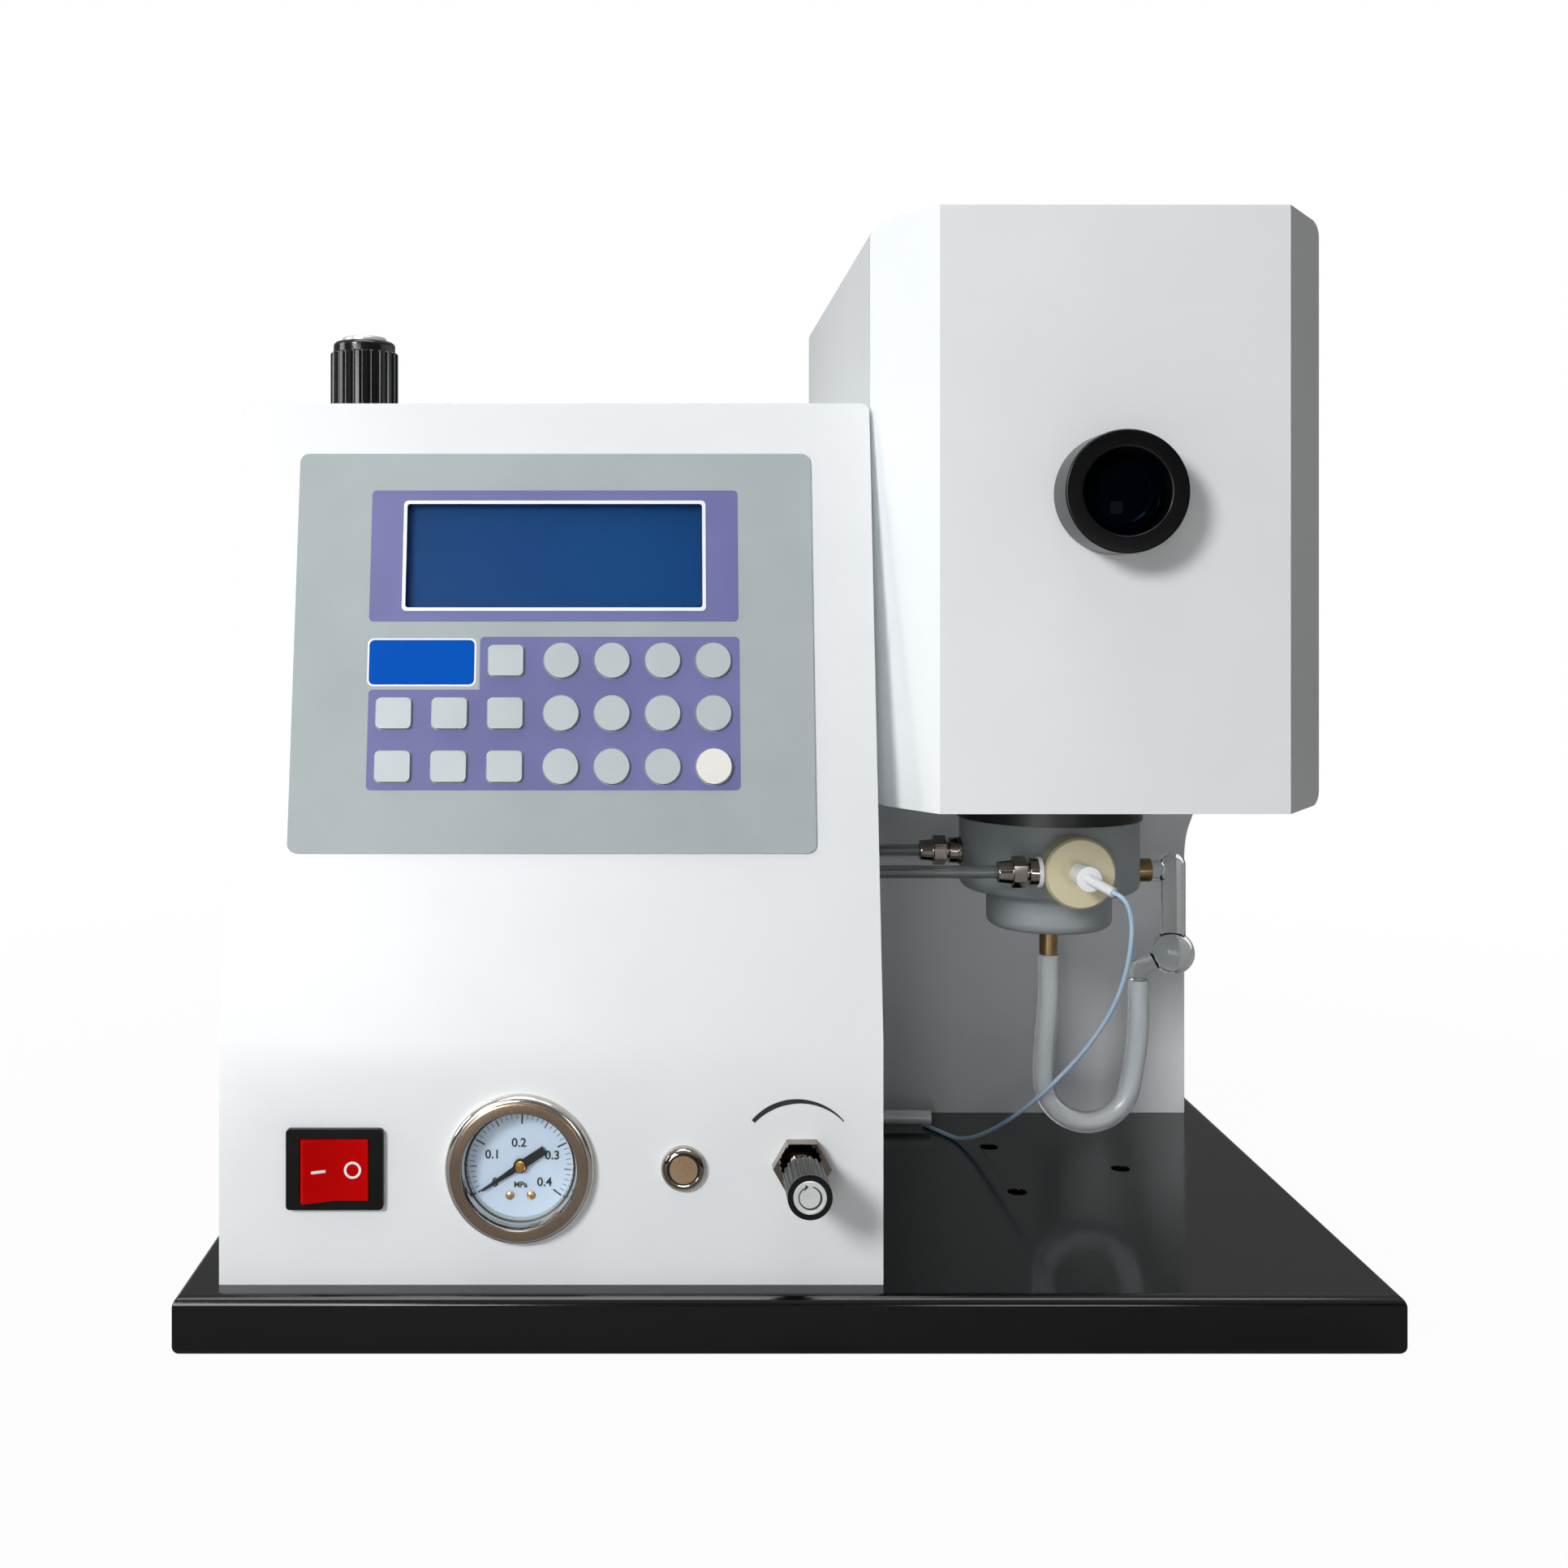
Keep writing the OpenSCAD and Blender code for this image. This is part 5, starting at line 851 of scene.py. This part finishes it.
def make_regulator_knob():
    """The fluted grip with its plain collar, and the nickel cap."""
    place = Matrix.Translation(regulator_spot)
    body_r, body_h, collar_r, collar_h = 11.9 * MM, 21.3 * MM, 10.85 * MM, 3.8 * MM
    round_r, cap_seat_r, top = 1.6 * MM, 8.3 * MM, body_h + collar_h
    rows = [(body_r - 0.2 * MM, 0, 1), (body_r, 0.3 * MM, 1), (body_r, body_h - 0.5 * MM, 1),
            (body_r - 0.5 * MM, body_h - 0.1 * MM, 0.8), (collar_r, body_h, 0),
            (collar_r, body_h + 0.2 * MM, 0), (collar_r, top - round_r, 0)]
    rows += [(collar_r - round_r + r, top - round_r + h, 0)
             for r, h in arc(0, 0, round_r, 12, 90, 6)]
    rows += [(cap_seat_r, top + 0.02 * MM, 0)]
    piece = add_piece("regulator_grip", fluted_mesh("regulator_grip", rows, place), knob_black,
                      "knob_black", "regulator_knob")
    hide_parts("regulator_knob")
    cap_r, cap_h, cap_in, cap_round = 7.8 * MM, 1.7 * MM, 0.3 * MM, 0.9 * MM
    cap = [(0, -cap_in), (cap_r, -cap_in), (cap_r, cap_h - cap_round)]
    cap += [(cap_r - cap_round + r, cap_h - cap_round + h)
            for r, h in arc(0, 0, cap_round, 15, 90, 5)]
    cap += [(0, cap_h + 0.05 * MM)]
    add_lathe("regulator_cap", cap, place @ Matrix.Translation((0, 0, top)), 64, nickel_disc,
              "chrome_plate", "regulator_knob")


make_regulator_knob()

# ---- Stage, light and background ----

FILL_LEVEL, FILL_COLOUR = 0.16, (1.0, 0.99, 0.965, 1)
# What gloss sees: the lowest and highest strength, and where along Y or Z they are reached.
GLOSS_BACK, GLOSS_TOP = (0.12, 0.26, -0.5, 0.5), (0.0, 0.9, 0.1, 0.8)
FLOOR_ALBEDO, FLOOR_HALF = 0.42, 4.0
FLOOR_WHITE = (0.97, 1.0, 0.3, 0.8)  # share of white near and far, and where it changes
SHADE_INSET, SHADE_LIFT = 12 * MM, 0.1 * MM
LAMPS = (  # name, place, target, side, power, lights matt surfaces, shows in gloss
    ("key_light", (-0.85, -1.35, 0.8), (0, 0, 0.2), 0.36, 16.6, True, True),
    ("top_light", (-0.15, -0.3, 1.9), (0, 0, 0.1), 0.8, 8, True, True),
    ("low_light", (-0.25, -1.3, 0.2), (0.1, 0, 0.12), 0.15, 1.1, True, True),
    ("strip_light", (0, -0.75, 1.6), (0, 0, 0.1), 1.6, 11, False, True),
    ("left_light", (-1.8, -0.25, 0.75), (0, 0, 0.25), 0.7, 8, True, True),
    ("back_light", (0.3, 1.7, 0.9), (0, 0, 0.2), 0.8, 13, True, False),
    ("bay_glint", (0.3, -1.15, 0.1), (0.08, 0, 0.14), 0.2, 0.7, False, True),
    ("glint_light", (-0.45, -1.1, 0.28), (0.1, 0, 0.13), 0.4, 5, False, True))
STRIP_DEPTH = 0.3


def highest(tree, values):
    """The highest of some values."""
    most = values[0]
    for value in values[1:]:
        test = node(tree, "ShaderNodeMath", operation="MAXIMUM")
        tree.links.new(most, test.inputs[0])
        tree.links.new(value, test.inputs[1])
        most = test.outputs[0]
    return most


def white_for_rays(tree, base, rays, share=None):
    """Mixes plain white into a shader for the named kinds of ray, in full or by a share."""
    path = node(tree, "ShaderNodeLightPath")
    total = highest(tree, [path.outputs[ray] for ray in rays])
    part = node(tree, "ShaderNodeMath", operation="MULTIPLY")
    tree.links.new(total, part.inputs[0])
    if share:
        tree.links.new(share, part.inputs[1])
    else:
        part.inputs[1].default_value = 1.0
    glow = node(tree, "ShaderNodeEmission")
    glow.inputs["Strength"].default_value = 1.0
    mix = node(tree, "ShaderNodeMixShader")
    tree.links.new(part.outputs[0], mix.inputs["Fac"])
    tree.links.new(base, mix.inputs[1])
    tree.links.new(glow.outputs[0], mix.inputs[2])
    return mix.outputs[0]


def flat_mesh(name, x0, y0, x1, y1, z=0.0):
    """One level rectangle."""
    return new_mesh(name, [(x0, y0, z), (x1, y0, z), (x1, y1, z), (x0, y1, z)], [(0, 1, 2, 3)])


def make_floor():
    """A white floor that keeps the shadow near the machine and fades to plain white."""
    mesh = flat_mesh("floor", -FLOOR_HALF, -FLOOR_HALF, FLOOR_HALF, FLOOR_HALF)
    floor = add_object("floor", mesh)
    material = bpy.data.materials.new("floor")
    material.use_nodes = True
    tree = material.node_tree
    tree.nodes.clear()
    matt = node(tree, "ShaderNodeBsdfDiffuse")
    matt.inputs["Color"].default_value = (FLOOR_ALBEDO, FLOOR_ALBEDO, FLOOR_ALBEDO, 1)
    out = node(tree, "ShaderNodeOutputMaterial")
    place = node(tree, "ShaderNodeTexCoord").outputs["Object"]
    away = node(tree, "ShaderNodeVectorMath", operation="LENGTH")
    tree.links.new(place, away.inputs[0])
    share = spread_value(tree, away.outputs["Value"], *FLOOR_WHITE)
    white = white_for_rays(tree, matt.outputs[0], ["Is Camera Ray"], share)
    tree.links.new(white, out.inputs["Surface"])
    mesh.materials.append(material)


def make_shade_under_tray():
    """A dark sheet on the floor under the tray, painted shade: what shows through the tray's
    holes stays as dark as the space under it is.
    """
    mesh = flat_mesh("shade_under_tray", tray_low.x + SHADE_INSET, tray_low.y + SHADE_INSET,
                     tray_high.x - SHADE_INSET, tray_high.y - SHADE_INSET, SHADE_LIFT)
    shade = add_object("shade_under_tray", mesh)
    # the sheet wears the feet's black rubber finish as painted shade; it is no real part
    mesh.materials.append(foot_rubber)


def make_world():
    """Soft even fill; the background is white, and gloss sees a brighter top and back."""
    world = bpy.data.worlds.new("world")
    bpy.context.scene.world = world
    world.use_nodes = True
    tree = world.node_tree
    tree.nodes.clear()
    fill = node(tree, "ShaderNodeBackground")
    fill.inputs["Color"].default_value = FILL_COLOUR
    fill.inputs["Strength"].default_value = FILL_LEVEL
    out = node(tree, "ShaderNodeOutputWorld")
    direction = node(tree, "ShaderNodeTexCoord").outputs["Generated"]
    parts = node(tree, "ShaderNodeSeparateXYZ")
    tree.links.new(direction, parts.inputs[0])
    back = spread_value(tree, parts.outputs["Y"], *GLOSS_BACK)
    up = spread_value(tree, parts.outputs["Z"], *GLOSS_TOP)
    most = highest(tree, [back, up])
    seen_in_gloss = node(tree, "ShaderNodeBackground")
    tree.links.new(most, seen_in_gloss.inputs["Strength"])
    path = node(tree, "ShaderNodeLightPath")
    gloss = node(tree, "ShaderNodeMixShader")
    tree.links.new(path.outputs["Is Glossy Ray"], gloss.inputs["Fac"])
    tree.links.new(fill.outputs[0], gloss.inputs[1])
    tree.links.new(seen_in_gloss.outputs[0], gloss.inputs[2])
    white = white_for_rays(tree, gloss.outputs[0], ["Is Camera Ray", "Is Transmission Ray"])
    tree.links.new(white, out.inputs["Surface"])


def make_lamps():
    """Square area lamps turned to their targets, and one long strip for the highlights."""
    for name, place, target, side, power, matt, gloss in LAMPS:
        light = bpy.data.lights.new(name, "AREA")
        light.shape, light.size, light.energy = "SQUARE", side, power
        if name == "strip_light":
            light.shape, light.size_y = "RECTANGLE", STRIP_DEPTH
        made = add_object(name, light)
        made.location = place
        away = Vector(target) - Vector(place)
        made.rotation_euler = away.to_track_quat("-Z", "Y").to_euler()
        made.visible_diffuse, made.visible_glossy = matt, gloss


make_floor()
make_shade_under_tray()
make_world()
make_lamps()
bpy.context.scene.view_settings.view_transform = "Standard"
